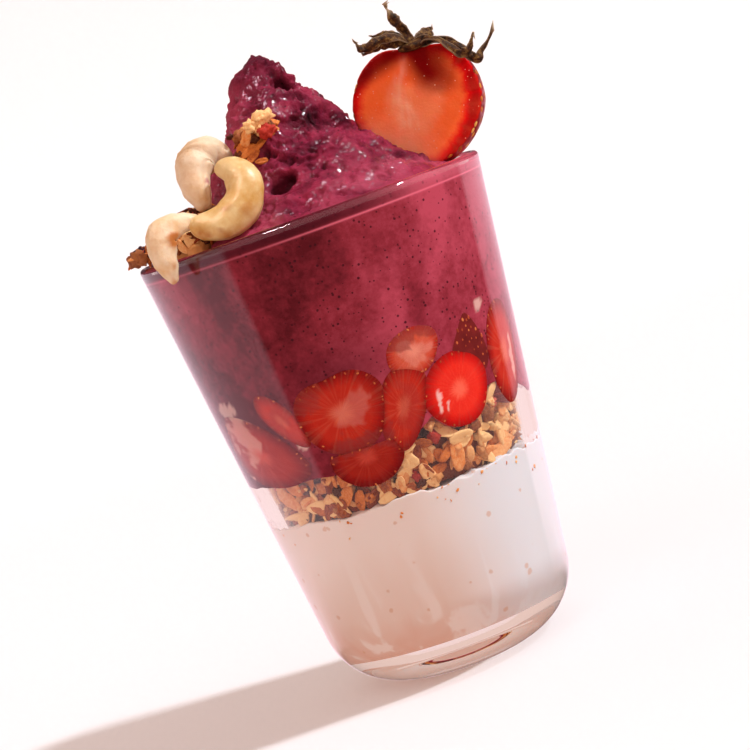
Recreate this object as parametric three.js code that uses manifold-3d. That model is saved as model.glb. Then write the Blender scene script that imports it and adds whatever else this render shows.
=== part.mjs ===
// A layered parfait in a clear glass tumbler: yogurt at the bottom, a band of granola, a ring of
// strawberry slices against the wall, and a frozen berry smoothie heaped into a craggy peak. Three
// cashews, granola and half a strawberry with its dried calyx lie on top.
//
// Millimetres, +Z up. The origin is the middle of the flat base and -Y is the front. A bearing round
// the glass is in degrees from the front, growing towards +X.
import * as THREE from "three";
import { mergeVertices } from "three/addons/utils/BufferGeometryUtils.js";
import { ImprovedNoise } from "three/addons/math/ImprovedNoise.js";
import Module from "manifold-3d";

// ---- driving dimensions ----

const GAP = 0.3; // between two pieces that touch
const SIDES = 36; // round the tumbler and all that fills it

const TUMBLER = {
  height: 117,
  rimRadius: 44,
  footRadius: 30, // where the outer wall's line would meet the floor
  cornerRadius: 17,
  lipThickness: 2.4,
  lowWallThickness: 4.1,
  lowWallHeight: 18, // where the low thickness is measured
  floorThickness: 8.5,
  innerCornerRadius: 13,
};

const LEVELS = {
  yogurt: 46.6, // middle of the yogurt's wavy top
  yogurtWave: 0.9,
  granola: 54.6, // middle of the granola's bare core, which rises towards the wall
  granolaEdge: 56.4,
  granolaWave: 0.8,
  granolaWallRise: 2.6, // how far above the core the smoothie starts at the wall
  smoothieContact: 115, // where the smoothie leaves the wall
};

// The mound's outline from the wall to the peak: radius and height.
const MOUND_OUTLINE = [
  [32.6, 119],
  [25, 124.6],
  [18.2, 133],
  [12.6, 140.8],
  [9.8, 145.5],
  [6.9, 150],
  [3.6, 154.8],
  [0, 157.4],
];
const MOUND = {
  rings: 14,
  peakShift: -0.5,
  lumpSize: 8.5,
  lumpHeight: 2,
  cragSize: 4.4,
  cragHeight: 1.3,
  blendHeight: 5, // the relief grows from nothing at the wall over this height
};
// Holes that the spoon left: place, reach and depth.
const MOUND_HOLES = [
  { at: [-3.6, -24.4, 125], reach: 3.4, depth: 3.4 },
  { at: [5.2, -6, 148], reach: 2.6, depth: 2 },
  { at: [13, -11, 135.5], reach: 3, depth: 2.2 },
  { at: [2.4, -20, 130.4], reach: 3.4, depth: 1.6 },
  { at: [-14, 14, 133], reach: 3.6, depth: 2.6 },
  { at: [16, 17, 128], reach: 3.2, depth: 2.2 },
];

const SLICE = { thickness: 4.4, sides: 12, rings: 5 };
// Strawberry slices pressed on the wall, front ones as seen: bearing and height of the middle, half
// width, half length towards the tip, direction of the tip (0 = right, 90 = up), how far the tip
// narrows, and where a cut takes off the stem end, as a share of the half length.
const FRONT_SLICES = [
  { bearing: -13.8, height: 71.1, width: 10.9, length: 10.3, turn: -84, taper: 0.1, notch: 0.13 },
  { bearing: 32, height: 66.4, width: 9.1, length: 8.9, turn: -72, taper: 0.12 },
  { bearing: -56, height: 66, width: 8.6, length: 14.6, turn: -24, taper: 0.34, cut: 0.85 },
  { bearing: -10.8, height: 59.4, width: 8.7, length: 7.3, turn: -90, taper: 0.05, cut: 0.3 },
  { bearing: 8.4, height: 67.4, width: 5.6, length: 10.6, turn: -114, taper: 0.15 },
  { bearing: 62, height: 70, width: 7, length: 12.4, turn: -97, taper: 0.1 },
  { bearing: 18.4, height: 79, width: 5.6, length: 6.8, turn: 20, taper: 0.1 },
  { bearing: 42, height: 75.2, width: 5.2, length: 7.6, turn: 84, taper: 0.6 },
  { bearing: -37.6, height: 73.2, width: 3.7, length: 8.6, turn: -58, taper: 0.18 },
];
const BACK_SLICES = { count: 5, first: 94, last: 246, height: 69, width: 8.2, length: 9.6 };

const GRANOLA = {
  flakeLength: 6.6,
  flakeWidth: 4,
  flakeThickness: 1.9,
  sides: 6,
  rings: 3,
  coreInset: 1.5, // from the wall to the bare core
  bandRows: 2,
  bandColumns: 21,
};
const LUMP = { sides: 10, rings: 6, roughness: 0.16 };
// Bare cores of the granola on top: middle, half sizes, and the flakes fused on.
const PEAK_CLUSTER = { at: [-5.4, -14.8, 137.6], size: [4.8, 2.2, 3.2], flakes: 12, seed: 21 };
const HEAP = { at: [-26.4, -15, 119.6], size: [9.5, 12.5, 6.8], flakes: 26, seed: 33 };
const FRONT_LUMP = { at: [-27.6, -26.6, 116.6], size: [3.4, 3.4, 3.6] };
const RIM_CLUSTER = { at: [-41.4, -8, 119.5], size: [2.7, 4.6, 1.5], flakes: 8, seed: 47 };

const NUT = { sides: 12, rings: 10, flatness: 0.86 };
// Cashews: the line through the middle from one end to the other, the thickness along it, and a
// direction square to the bend.
const CASHEWS = {
  cashew_left: {
    path: [
      [-24.4, -28.4, 124], [-29.4, -30.6, 124.7], [-33.8, -33, 123.4], [-34.8, -33.4, 118], [-34.4, -32.6, 112.4],
    ],
    radii: [2.4, 3, 3.5, 3.2, 2],
    square: [0.55, -0.83, 0.1],
  },
  cashew_upright: {
    path: [
      [-22.4, -24, 125.8], [-22.8, -21.6, 131.4], [-21.4, -18, 136.3], [-17.6, -14.4, 137.7], [-13.6, -13, 133.2],
    ],
    radii: [3.2, 4, 4.6, 4.8, 3.8],
    square: [-0.5, -0.75, -0.42],
  },
  cashew_front: {
    path: [
      [-16.4, -25.4, 134.6], [-12.4, -27.4, 131], [-12.8, -30, 125.2], [-18.6, -32, 121.8], [-27, -32, 123],
    ],
    radii: [3.2, 4.2, 4.5, 3.9, 3],
    square: [0.05, -0.94, 0.3],
  },
};

const HALF_BERRY = {
  at: [34, -2.6, 131.2], // middle of the widest section
  halfWidth: 16.4,
  halfLength: 15.2,
  depth: 14.2,
  cutAhead: 2.5, // how far the cut face lies in front of the widest section
  faceTurn: -20, // degrees that the cut face looks away to the left
  lean: 12, // degrees that the stem end leans to the right
  shoulder: 0.8, // under 1 squares the stem end
  taper: 0.1,
  sides: 24,
  rings: 13,
};
const CALYX = { at: [38, -1.6, 146.4], hubSize: [4.4, 3.6, 1.4], thickness: 0.7, steps: 6 };
// Dried sepals: the places that each passes on from the hub, its tip last, and the width.
const SEPALS = [
  { path: [[32, -5.2, 149.4], [26, -6, 148.8], [24.2, -6, 151.2]], width: 4.4 },
  { path: [[31, -3.4, 148.4], [25.1, -3.4, 147.6]], width: 4 },
  { path: [[36.2, -2.6, 151], [34.8, -3, 154.2], [34, -3, 157.6]], width: 4.2 },
  { path: [[42, -7, 145.8], [47, -9.8, 140.2], [49.8, -10, 140.8], [51.7, -9.6, 143.7]], width: 4.4 },
  { path: [[45.4, -6.6, 144], [49.8, -9.8, 137.8], [52, -9.4, 138.6], [56.6, -8, 142.5]], width: 4.4 },
  { path: [[42, 7, 147.4], [44.4, 12, 148.4]], width: 4 },
  { path: [[33.4, 6.6, 149.6], [29.6, 11, 151.6]], width: 4 },
];

const FINISHES = {
  glass: { color: 0xf2efee, roughness: 0.03, metalness: 0, transparent: true, opacity: 0.3 },
  yogurt: { color: 0xe3cdc8, roughness: 0.35, metalness: 0 },
  granola: { color: 0xc98f5c, roughness: 0.75, metalness: 0 },
  strawberry: { color: 0xd23c2e, roughness: 0.3, metalness: 0 },
  smoothie: { color: 0x8c2c42, roughness: 0.38, metalness: 0 },
  cashew: { color: 0xefcf9f, roughness: 0.5, metalness: 0 },
  calyx: { color: 0x6e5a44, roughness: 0.8, metalness: 0 },
};

// ---- tools ----

const wasm = await Module();
wasm.setup();
const noiseField = new ImprovedNoise();
const radians = THREE.MathUtils.degToRad;
const { lerp, smoothstep } = THREE.MathUtils;
const place = (values) => new THREE.Vector3(...values);

/** Smooth noise from -1 to 1, with lumps about `size` across. */
function noiseAt(point, size, shift = 0) {
  return noiseField.noise(point.x / size + shift, point.y / size - shift, point.z / size + 3 * shift);
}

/** A repeatable source of numbers from 0 to 1. */
function seeded(seed) {
  let state = seed;
  return () => {
    state = (state + 0x6d2b79f5) | 0;
    let mixed = Math.imul(state ^ (state >>> 15), 1 | state);
    mixed = (mixed + Math.imul(mixed ^ (mixed >>> 7), 61 | mixed)) ^ mixed;
    return ((mixed ^ (mixed >>> 14)) >>> 0) / 4294967296;
  };
}

/** The closed geometry as a solid for joining and cutting. */
function solid(geometry) {
  const bare = new THREE.BufferGeometry();
  bare.setAttribute("position", geometry.getAttribute("position"));
  bare.setIndex(geometry.index);
  const merged = mergeVertices(bare, 1e-4);
  const corners = merged.index.array;
  const kept = [];
  for (let i = 0; i < corners.length; i += 3) {
    const [a, b, c] = corners.subarray(i, i + 3);
    if (a !== b && b !== c && a !== c) kept.push(a, b, c);
  }
  const made = new wasm.Manifold(
    new wasm.Mesh({
      numProp: 3,
      vertProperties: merged.attributes.position.array,
      triVerts: new Uint32Array(kept),
    }),
  );
  if (made.volume() < 0) throw new Error("a shape is inside out");
  return made;
}

/** Moves each vertex of a geometry to where `rule(point, normal)` puts it. */
function reshape(geometry, rule) {
  const positions = geometry.getAttribute("position");
  const normals = geometry.getAttribute("normal");
  const point = new THREE.Vector3();
  const normal = new THREE.Vector3();
  for (let i = 0; i < positions.count; i++) {
    point.fromBufferAttribute(positions, i);
    normal.fromBufferAttribute(normals, i);
    const moved = rule(point, normal);
    positions.setXYZ(i, moved.x, moved.y, moved.z);
  }
  return geometry;
}

/** A solid turned round the upright axis from a profile of radius and height, base centre first. */
function turned(profile) {
  return new THREE.LatheGeometry(profile, SIDES).rotateX(Math.PI / 2);
}

/** The largest body of a solid, without loose scraps. */
function largest(shape) {
  return shape.decompose().reduce((best, body) => (body.volume() > best.volume() ? body : best));
}

const joined = (shapes) => shapes.reduce((sum, shape) => sum.add(shape));
const without = (shape, others) => others.reduce((rest, other) => rest.subtract(other), shape);
const touches = (shape, other) => !shape.intersect(other).isEmpty();

const root = new THREE.Group();

/** Adds the solid to the part as a named mesh with its finish. */
function addNode(name, shape, finish) {
  const { vertProperties, triVerts } = shape.getMesh();
  const geometry = new THREE.BufferGeometry();
  geometry.setAttribute("position", new THREE.BufferAttribute(new Float32Array(vertProperties), 3));
  geometry.setIndex(new THREE.BufferAttribute(new Uint32Array(triVerts), 1));
  geometry.computeVertexNormals();
  const mesh = new THREE.Mesh(geometry, new THREE.MeshStandardMaterial(FINISHES[finish]));
  mesh.name = name;
  root.add(mesh);
}

// ---- the tumbler ----

const outerSlope = (TUMBLER.rimRadius - TUMBLER.footRadius) / TUMBLER.height;
const outerRadiusAt = (height) => TUMBLER.footRadius + outerSlope * height;
const innerRimRadius = TUMBLER.rimRadius - TUMBLER.lipThickness;
const innerSlope =
  (innerRimRadius - outerRadiusAt(TUMBLER.lowWallHeight) + TUMBLER.lowWallThickness) /
  (TUMBLER.height - TUMBLER.lowWallHeight);
const innerRadiusAt = (height) => innerRimRadius - innerSlope * (TUMBLER.height - height);

/** The round corner from a floor to a wall that leans outward by `slope`. */
function cornerArc(radiusAt, slope, floor, radius, steps = 5) {
  const lean = Math.atan(slope);
  const middleHeight = floor + radius;
  const middleRadius = radiusAt(middleHeight) - radius / Math.cos(lean);
  return Array.from({ length: steps + 1 }, (_, i) => {
    const angle = -Math.PI / 2 + (i / steps) * (Math.PI / 2 - lean);
    return new THREE.Vector2(
      middleRadius + radius * Math.cos(angle),
      middleHeight + radius * Math.sin(angle),
    );
  });
}

/** Heights from one level to another, both left out. */
const between = (low, high, count) =>
  Array.from({ length: count }, (_, i) => lerp(low, high, (i + 1) / (count + 1)));

/** The clear glass: outer wall, rounded lip and inner wall down to the thick floor. */
function tumbler() {
  const lip = TUMBLER.lipThickness / 2;
  const lipHeight = TUMBLER.height - lip;
  const outerCorner = cornerArc(outerRadiusAt, outerSlope, 0, TUMBLER.cornerRadius);
  const innerCorner = cornerArc(
    innerRadiusAt, innerSlope, TUMBLER.floorThickness, TUMBLER.innerCornerRadius,
  );
  const lipArc = Array.from({ length: 6 }, (_, i) => {
    const angle = (i / 5) * Math.PI;
    return new THREE.Vector2(
      outerRadiusAt(lipHeight) - lip + lip * Math.cos(angle),
      lipHeight + lip * Math.sin(angle),
    );
  });
  const ringsUp = between(outerCorner.at(-1).y, lipHeight, 2);
  const ringsDown = between(lipHeight, innerCorner.at(-1).y, 2);
  return solid(turned([
    new THREE.Vector2(0, 0),
    ...outerCorner,
    ...ringsUp.map((height) => new THREE.Vector2(outerRadiusAt(height), height)),
    ...lipArc,
    ...ringsDown.map((height) => new THREE.Vector2(innerRadiusAt(height), height)),
    ...innerCorner.reverse(),
    new THREE.Vector2(0, TUMBLER.floorThickness),
  ]));
}

/** All the room inside the tumbler, kept `inset` clear of its wall and floor. */
function room(inset) {
  const radiusAt = (height) => innerRadiusAt(height) - inset;
  const floor = TUMBLER.floorThickness + inset;
  const top = TUMBLER.height;
  return solid(turned([
    new THREE.Vector2(0, floor),
    ...cornerArc(radiusAt, innerSlope, floor, TUMBLER.innerCornerRadius - inset),
    new THREE.Vector2(radiusAt(top), top),
    new THREE.Vector2(0, top),
  ]));
}

// ---- yogurt and granola layers ----

const yogurtTopAt = (x, y) => LEVELS.yogurt + LEVELS.yogurtWave * noiseAt({ x, y, z: 0 }, 15, 2.4);
const granolaTopAt = (x, y) =>
  lerp(LEVELS.granola, LEVELS.granolaEdge, smoothstep(Math.hypot(x, y), 20, 30)) +
  LEVELS.granolaWave * noiseAt({ x, y, z: 0 }, 11, 5.1);

/** The smoothie's underside, which leaves room for the flakes that stand up along the wall. */
const smoothieFloorAt = (x, y) =>
  granolaTopAt(x, y) + GAP + LEVELS.granolaWallRise * smoothstep(Math.hypot(x, y), 24, 30);

/** A slab wider than the tumbler between two wavy surfaces. */
function slab(lowAt, highAt) {
  const reaches = [0, 20, 29, 31, 46];
  const profile = [
    ...reaches.map((radius) => new THREE.Vector2(radius, 0)),
    ...reaches.toReversed().map((radius) => new THREE.Vector2(radius, 1)),
  ];
  return solid(reshape(turned(profile), (point) =>
    point.setZ(point.z < 0.5 ? lowAt(point.x, point.y) : highAt(point.x, point.y))));
}

const raised = (heightAt, rise) => (x, y) => heightAt(x, y) + rise;

/** One oat flake: a flat lens with its own length, width and thickness, lying square to `facing`. */
function flake(random, at, facing) {
  const scale = lerp(0.72, 1.2, random());
  const half = new THREE.Vector3(
    (GRANOLA.flakeLength * scale) / 2,
    (GRANOLA.flakeWidth * scale * lerp(0.8, 1.15, random())) / 2,
    (GRANOLA.flakeThickness * lerp(0.8, 1.4, random())) / 2,
  );
  const spin = new THREE.Quaternion().setFromAxisAngle(new THREE.Vector3(0, 0, 1), random() * Math.PI);
  const tilt = new THREE.Vector3(random() - 0.5, random() - 0.5, random() - 0.5).multiplyScalar(1.1);
  const lie = new THREE.Quaternion().setFromUnitVectors(
    new THREE.Vector3(0, 0, 1),
    facing.clone().add(tilt).normalize(),
  );
  const shape = new THREE.SphereGeometry(1, GRANOLA.sides, GRANOLA.rings).rotateX(Math.PI / 2);
  return solid(reshape(shape, (point) =>
    point.multiply(half).applyQuaternion(spin).applyQuaternion(lie).add(at)));
}

/** Moves a piece towards the axis until all of it stands clear of the wall. */
function pulledIn(piece) {
  const { vertProperties } = piece.getMesh();
  let over = -Infinity;
  let outward;
  for (let i = 0; i < vertProperties.length; i += 3) {
    const [x, y, z] = vertProperties.subarray(i, i + 3);
    const radius = Math.hypot(x, y);
    if (radius - innerRadiusAt(z) > over) {
      over = radius - innerRadiusAt(z);
      outward = [x / radius, y / radius];
    }
  }
  const back = -(over + 1.5 * GAP);
  return piece.translate([outward[0] * back, outward[1] * back, 0]);
}

/** The first of some places, given as shifts, where a piece is clear of the others, or nothing. */
function fitted(piece, shifts, obstacles) {
  return shifts
    .map((shift) => piece.translate(shift))
    .find((moved) => obstacles.every((obstacle) => !touches(moved, obstacle)));
}

/** The granola band: a bare core with flakes fused on along the wall, clear of what is given. */
function granolaLayer(core, obstacles) {
  const random = seeded(9);
  const shifts = [0, -1.2, 1.2, -2.4, 2.4].map((rise) => [0, 0, rise]);
  const flakes = [];
  for (let row = 0; row < GRANOLA.bandRows; row++) {
    for (let column = 0; column < GRANOLA.bandColumns; column++) {
      const bearing = ((column + 0.5 * (row % 2) + 0.5 * random()) / GRANOLA.bandColumns) * 2 * Math.PI;
      const height = lerp(LEVELS.yogurt + 2, LEVELS.granolaEdge + 2.4, (row + 0.8 * random()) / GRANOLA.bandRows);
      const radius = innerRadiusAt(height);
      const outward = new THREE.Vector3(Math.sin(bearing), -Math.cos(bearing), 0);
      const spot = outward.clone().multiplyScalar(radius).setZ(height);
      flakes.push(fitted(pulledIn(flake(random, spot, outward)), shifts, obstacles));
    }
  }
  return largest(joined([core, ...flakes.filter(Boolean)]));
}

// ---- strawberry slices ----

/** A slice bent along the wall: a ball drawn out to the berry's outline and flattened. */
function wallSlice(slice, grow = 0) {
  const { bearing, height, width, length, turn, taper, cut = 2, notch = 0, depth = 0 } = slice;
  const shape = new THREE.SphereGeometry(1, SLICE.sides, SLICE.rings).rotateX(Math.PI / 2);
  const tipTurn = radians(turn);
  const wallRadius = innerRadiusAt(height);
  return solid(reshape(shape, (point) => {
    const girth = Math.min(1, Math.hypot(point.x, point.y));
    const around = Math.atan2(point.x, point.y); // 0 towards the tip
    const reach = Math.pow(girth, 0.55);
    const stemDip = notch * Math.pow(Math.max(0, -Math.cos(around)), 12);
    const uneven = 1 + 0.05 * noiseAt({ x: Math.cos(around) + bearing, y: Math.sin(around), z: 0 }, 0.9);
    const across = reach * (width + grow) * Math.sin(around) * (1 - taper * Math.cos(around)) * uneven;
    const along = Math.max(
      reach * (length + grow) * Math.cos(around) * uneven * (1 - stemDip),
      -cut * length - grow,
    );
    const flat = Math.sign(point.z) * Math.pow(Math.abs(point.z), 0.35);
    const inward = depth + SLICE.thickness / 2 - flat * (SLICE.thickness / 2 + grow);
    const right = along * Math.cos(tipTurn) + across * Math.sin(tipTurn);
    const up = along * Math.sin(tipTurn) - across * Math.cos(tipTurn);
    const angle = radians(bearing) + right / wallRadius;
    const radius = innerRadiusAt(height + up) - GAP - inward;
    return point.set(radius * Math.sin(angle), -radius * Math.cos(angle), height + up);
  }));
}

/** Slices that finish the ring behind, each a little different. */
function backSlices() {
  const random = seeded(5);
  return Array.from({ length: BACK_SLICES.count }, (_, i) => ({
    bearing: lerp(BACK_SLICES.first, BACK_SLICES.last, i / (BACK_SLICES.count - 1)),
    height: BACK_SLICES.height + 7 * (random() - 0.5),
    width: BACK_SLICES.width * lerp(0.85, 1.1, random()),
    length: BACK_SLICES.length * lerp(0.85, 1.15, random()),
    turn: -90 + 90 * (random() - 0.5),
    taper: 0.3 * random(),
  }));
}

// ---- smoothie ----

/** How far the mound's surface stands out from, or dips below, its smooth outline. */
function moundRelief(point) {
  const holes = MOUND_HOLES.reduce((sum, { at, reach, depth }) => {
    const away = point.distanceTo(place(at)) / reach;
    return sum + depth * Math.exp(-away * away);
  }, 0);
  const lumps = MOUND.lumpHeight * noiseAt(point, MOUND.lumpSize, 1.7);
  const crags = MOUND.cragHeight * noiseAt(point, MOUND.cragSize, 4.2);
  return lumps + crags - holes;
}

/** The smoothie: it fills the tumbler above the granola and stands over the rim as a peak. */
function smoothieBody() {
  const contact = LEVELS.smoothieContact;
  const wallRadiusAt = (height) => innerRadiusAt(height) - GAP;
  const outline = new THREE.SplineCurve([
    new THREE.Vector2(wallRadiusAt(contact), contact),
    ...MOUND_OUTLINE.map(([radius, height]) => new THREE.Vector2(radius, height)),
  ]);
  const floor = LEVELS.granola - 4; // under every part of the wavy floor
  const profile = [
    new THREE.Vector2(0, floor),
    new THREE.Vector2(wallRadiusAt(floor), floor),
    ...between(floor, contact, 2).map((height) => new THREE.Vector2(wallRadiusAt(height), height)),
    ...outline.getSpacedPoints(MOUND.rings),
  ];
  const filling = solid(reshape(turned(profile), (point, normal) => {
    if (point.z < contact) return point;
    if (Math.hypot(point.x, point.y) < 0.01) normal.set(0, 0, 1);
    const raise = smoothstep(point.z, contact, contact + MOUND.blendHeight);
    const shift = MOUND.peakShift * smoothstep(point.z, contact, 150);
    const relief = moundRelief(point) * raise;
    return point.addScaledVector(normal, relief).add(new THREE.Vector3(shift, 0, 0));
  }));
  return filling.intersect(slab(smoothieFloorAt, () => 2 * TUMBLER.height));
}

// ---- toppings ----

/** A cashew: a ball whose axis is drawn along a bent line. */
function cashew({ path, radii, square }, grow = 0) {
  const line = new THREE.CatmullRomCurve3(path.map(place));
  const thickness = new THREE.SplineCurve(radii.map((radius, i) => new THREE.Vector2(i, radius)));
  const across = place(square).normalize();
  const shape = new THREE.SphereGeometry(1, NUT.sides, NUT.rings);
  return solid(reshape(shape, (point) => {
    const along = THREE.MathUtils.clamp((1 - point.y) / 2, 0, 1);
    const girth = Math.hypot(point.x, point.z);
    const tangent = line.getTangentAt(along);
    const inPlane = new THREE.Vector3().crossVectors(across, tangent).normalize();
    const flatwise = new THREE.Vector3().crossVectors(tangent, inPlane);
    const radius = thickness.getPoint(along).y * Math.pow(Math.min(1, girth), 0.72) + grow * girth;
    const angle = Math.atan2(point.z, point.x);
    return line.getPointAt(along)
      .addScaledVector(inPlane, radius * Math.cos(angle))
      .addScaledVector(flatwise, radius * Math.sin(angle) * NUT.flatness)
      .addScaledVector(tangent, -grow * point.y);
  }));
}

/** A rough lump: a ball with uneven sides. */
function lump({ at, size }, grow = 0) {
  const middle = place(at);
  const half = place(size);
  const shape = new THREE.SphereGeometry(1, LUMP.sides, LUMP.rings).rotateX(Math.PI / 2);
  return solid(reshape(shape, (point) => {
    const uneven = 1 + LUMP.roughness * noiseAt(point, 0.7, middle.x);
    return point.multiply(half.clone().multiplyScalar(uneven).addScalar(grow)).add(middle);
  }));
}

/** Flakes fused on a bare core, each moved or skipped where it would cross other pieces. */
function scattered(core, { at, size, flakes, seed }, obstacles, lowest) {
  const random = seeded(seed);
  const middle = place(at);
  const half = place(size);
  const turn = Math.PI * (3 - Math.sqrt(5)); // spreads the flakes evenly over a ball
  const pieces = [];
  for (let i = 0; i < flakes; i++) {
    const rise = lerp(1, lowest, (i + 0.5) / flakes);
    const reach = Math.sqrt(1 - rise * rise);
    const outward = new THREE.Vector3(reach * Math.cos(i * turn), reach * Math.sin(i * turn), rise);
    const spot = outward.clone().multiply(half).add(middle);
    const facing = outward.clone().divide(half).normalize();
    const shifts = [0, 0.7, -0.7, 1.4].map((step) => facing.toArray().map((part) => part * step));
    pieces.push(fitted(flake(random, spot, facing), shifts, obstacles));
  }
  return largest(joined([core, ...pieces.filter(Boolean)]));
}

/** The upper wall and lip of the tumbler, grown by the gap, for pieces to stay clear of. */
function ringOverLip() {
  const top = TUMBLER.height + GAP;
  const low = TUMBLER.height - 17;
  return solid(turned([
    new THREE.Vector2(innerRadiusAt(low) - GAP, low),
    new THREE.Vector2(outerRadiusAt(low) + GAP, low),
    new THREE.Vector2(outerRadiusAt(top) + GAP, top),
    new THREE.Vector2(innerRadiusAt(top) - GAP, top),
    new THREE.Vector2(innerRadiusAt(low) - GAP, low),
  ]));
}

/** The upright half of a strawberry, cut through its stem. */
function halfBerry(grow = 0) {
  const { at, halfWidth, halfLength, depth, cutAhead, faceTurn, lean } = HALF_BERRY;
  const { shoulder, taper, sides, rings } = HALF_BERRY;
  const shape = new THREE.SphereGeometry(1, sides, rings).rotateX(Math.PI / 2);
  const whole = solid(reshape(shape, (point) => {
    const girth = Math.hypot(point.x, point.y);
    const fuller = point.z > 0 ? Math.pow(Math.max(girth, 1e-9), shoulder - 1) : 1 + taper * point.z;
    const stemDip = 1 - 0.12 * Math.exp(-Math.pow(girth / 0.3, 2)) * Math.max(0, point.z);
    return point.set(
      point.x * fuller * (halfWidth + grow),
      point.y * fuller * (depth + grow),
      point.z * stemDip * (halfLength + grow),
    );
  }));
  const cutter = new THREE.BoxGeometry(80, 40, 80).translate(0, -20 - cutAhead - grow, 0);
  return whole.subtract(solid(cutter)).rotate([0, lean, 0]).rotate([0, 0, faceTurn]).translate(at);
}

/** A dried sepal: a thin strip that narrows to its tip, arched and wavy across. */
function sepal({ path, width }) {
  const line = new THREE.CatmullRomCurve3([CALYX.at, ...path].map(place));
  const shape = new THREE.BoxGeometry(1, 1, 1, CALYX.steps, 2, 1);
  return solid(reshape(shape, (point) => {
    const along = point.x + 0.5;
    const tangent = line.getTangent(along);
    const side = new THREE.Vector3(0, 0, 1).cross(tangent);
    if (side.lengthSq() < 0.05) side.set(1, 0.3, 0);
    side.normalize();
    const above = new THREE.Vector3().crossVectors(tangent, side);
    const halfWidth = (width / 2) * (0.45 + 0.75 * Math.sin(Math.PI * Math.pow(along, 0.8))) * (1.12 - along);
    const arch = -0.9 * Math.pow(2 * point.y, 2) * (1 - along) + 0.5 * Math.sin(9 * along + 5 * point.y);
    return line.getPoint(along)
      .addScaledVector(side, 2 * point.y * halfWidth)
      .addScaledVector(above, arch * 0.6 + point.z * CALYX.thickness);
  }));
}

/** The calyx: sepals round a small hub, fused into one piece. */
function calyx() {
  const hub = lump({ at: CALYX.at, size: CALYX.hubSize });
  return joined([hub, ...SEPALS.map(sepal)]);
}

// ---- everything in its place ----

addNode("glass", tumbler(), "glass");

const yogurt = room(GAP).intersect(slab(() => 0, yogurtTopAt));
addNode("yogurt", yogurt, "yogurt");

// A slice gives way to those before it in the list, which lie in front of it.
const sliceShapes = [...FRONT_SLICES, ...backSlices()];
const grownSlices = sliceShapes.map((slice) => wallSlice(slice, GAP));
sliceShapes.forEach((slice, i) => {
  const cutBack = without(wallSlice(slice), grownSlices.slice(0, i));
  const number = String(i + 1).padStart(2, "0");
  addNode(`strawberry_slice_${number}`, largest(cutBack), "strawberry");
});

const nuts = Object.values(CASHEWS).map((nut) => cashew(nut));
const grownNuts = Object.values(CASHEWS).map((nut) => cashew(nut, GAP));
const bareCores = [PEAK_CLUSTER, HEAP, FRONT_LUMP];
const smoothie = largest(without(smoothieBody(), [
  ...grownSlices,
  ...grownNuts,
  halfBerry(GAP),
  ...bareCores.map((core) => lump(core, GAP)),
]));
addNode("smoothie", smoothie, "smoothie");

const bandCore = without(
  room(GRANOLA.coreInset).intersect(slab(raised(yogurtTopAt, GAP), granolaTopAt)),
  grownSlices,
);
const bandObstacles = [yogurt.translate([0, 0, GAP]), smoothie.translate([0, 0, -GAP]), ...grownSlices];
addNode("granola_layer", granolaLayer(bandCore, bandObstacles), "granola");

const wallGuard = ringOverLip();
const topObstacles = [smoothie, smoothie.translate([0, 0, GAP]), wallGuard, ...grownNuts];
addNode("granola_peak", scattered(lump(PEAK_CLUSTER), PEAK_CLUSTER, topObstacles, 0), "granola");
const heapCore = without(lump(HEAP).add(lump(FRONT_LUMP)), [wallGuard, ...grownNuts]);
const heap = scattered(heapCore, HEAP, topObstacles, 0);
addNode("granola_heap", heap, "granola");
addNode("granola_rim", scattered(lump(RIM_CLUSTER), RIM_CLUSTER, [...topObstacles, heap], -0.1), "granola");

Object.keys(CASHEWS).forEach((name, i) => {
  addNode(name, without(nuts[i], grownNuts.slice(0, i)), "cashew");
});
addNode("strawberry_half", halfBerry(), "strawberry");
addNode("calyx", largest(calyx().subtract(halfBerry(GAP))), "calyx");

export default root;
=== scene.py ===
"""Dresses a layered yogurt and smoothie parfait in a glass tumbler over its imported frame.

Metres, +Z up, -Y towards the viewer. A bearing round the tumbler is in degrees from the front and
grows towards +X. What fills the glass reaches just into its wall, so that no air gap shows.
"""

import logging
import math
import random
from dataclasses import dataclass
from enum import Enum
from typing import Callable, Iterable, Iterator, Sequence

import bmesh
import bpy
from mathutils import Matrix, Vector, noise
from mathutils.kdtree import KDTree


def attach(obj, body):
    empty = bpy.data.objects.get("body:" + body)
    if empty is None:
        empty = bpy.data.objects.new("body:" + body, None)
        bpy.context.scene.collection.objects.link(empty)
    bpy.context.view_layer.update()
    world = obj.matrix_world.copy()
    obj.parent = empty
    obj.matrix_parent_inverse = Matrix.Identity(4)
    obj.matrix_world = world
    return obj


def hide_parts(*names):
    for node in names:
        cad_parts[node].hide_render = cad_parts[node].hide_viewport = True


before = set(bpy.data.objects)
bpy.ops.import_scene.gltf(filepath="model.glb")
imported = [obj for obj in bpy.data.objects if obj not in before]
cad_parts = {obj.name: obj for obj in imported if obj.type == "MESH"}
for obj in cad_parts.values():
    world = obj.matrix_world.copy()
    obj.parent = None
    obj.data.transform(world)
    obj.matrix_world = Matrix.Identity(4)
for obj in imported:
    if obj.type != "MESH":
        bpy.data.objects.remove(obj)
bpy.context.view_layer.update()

LOG = logging.getLogger("parfait")
MM = 0.001
BODY = "root"
BERRY = "berry"  # vector attribute: across and along the cut face, and reach from its middle to its edge
TONE = "tone"  # number attribute, 0 to 1: how dark a small thing is, partly painted light and shade in the granola band, or how much froth, painted light, scar or bleach shows
FILM = "film"  # number attribute, 0 to 1: how much cream, melt, pale fibre or painted light (glow, glints, lit crests) lies on a surface
HAZE = "haze"  # number attribute, 0 to 1: how much juice, stain or painted shade darkens a surface
WETTED = 0.02  # specular level of what wets the glass: with no air between, it hardly mirrors
GOLDEN_ANGLE = math.pi * (3 - math.sqrt(5))  # from one thing to the next, spreads them evenly about a middle

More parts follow.
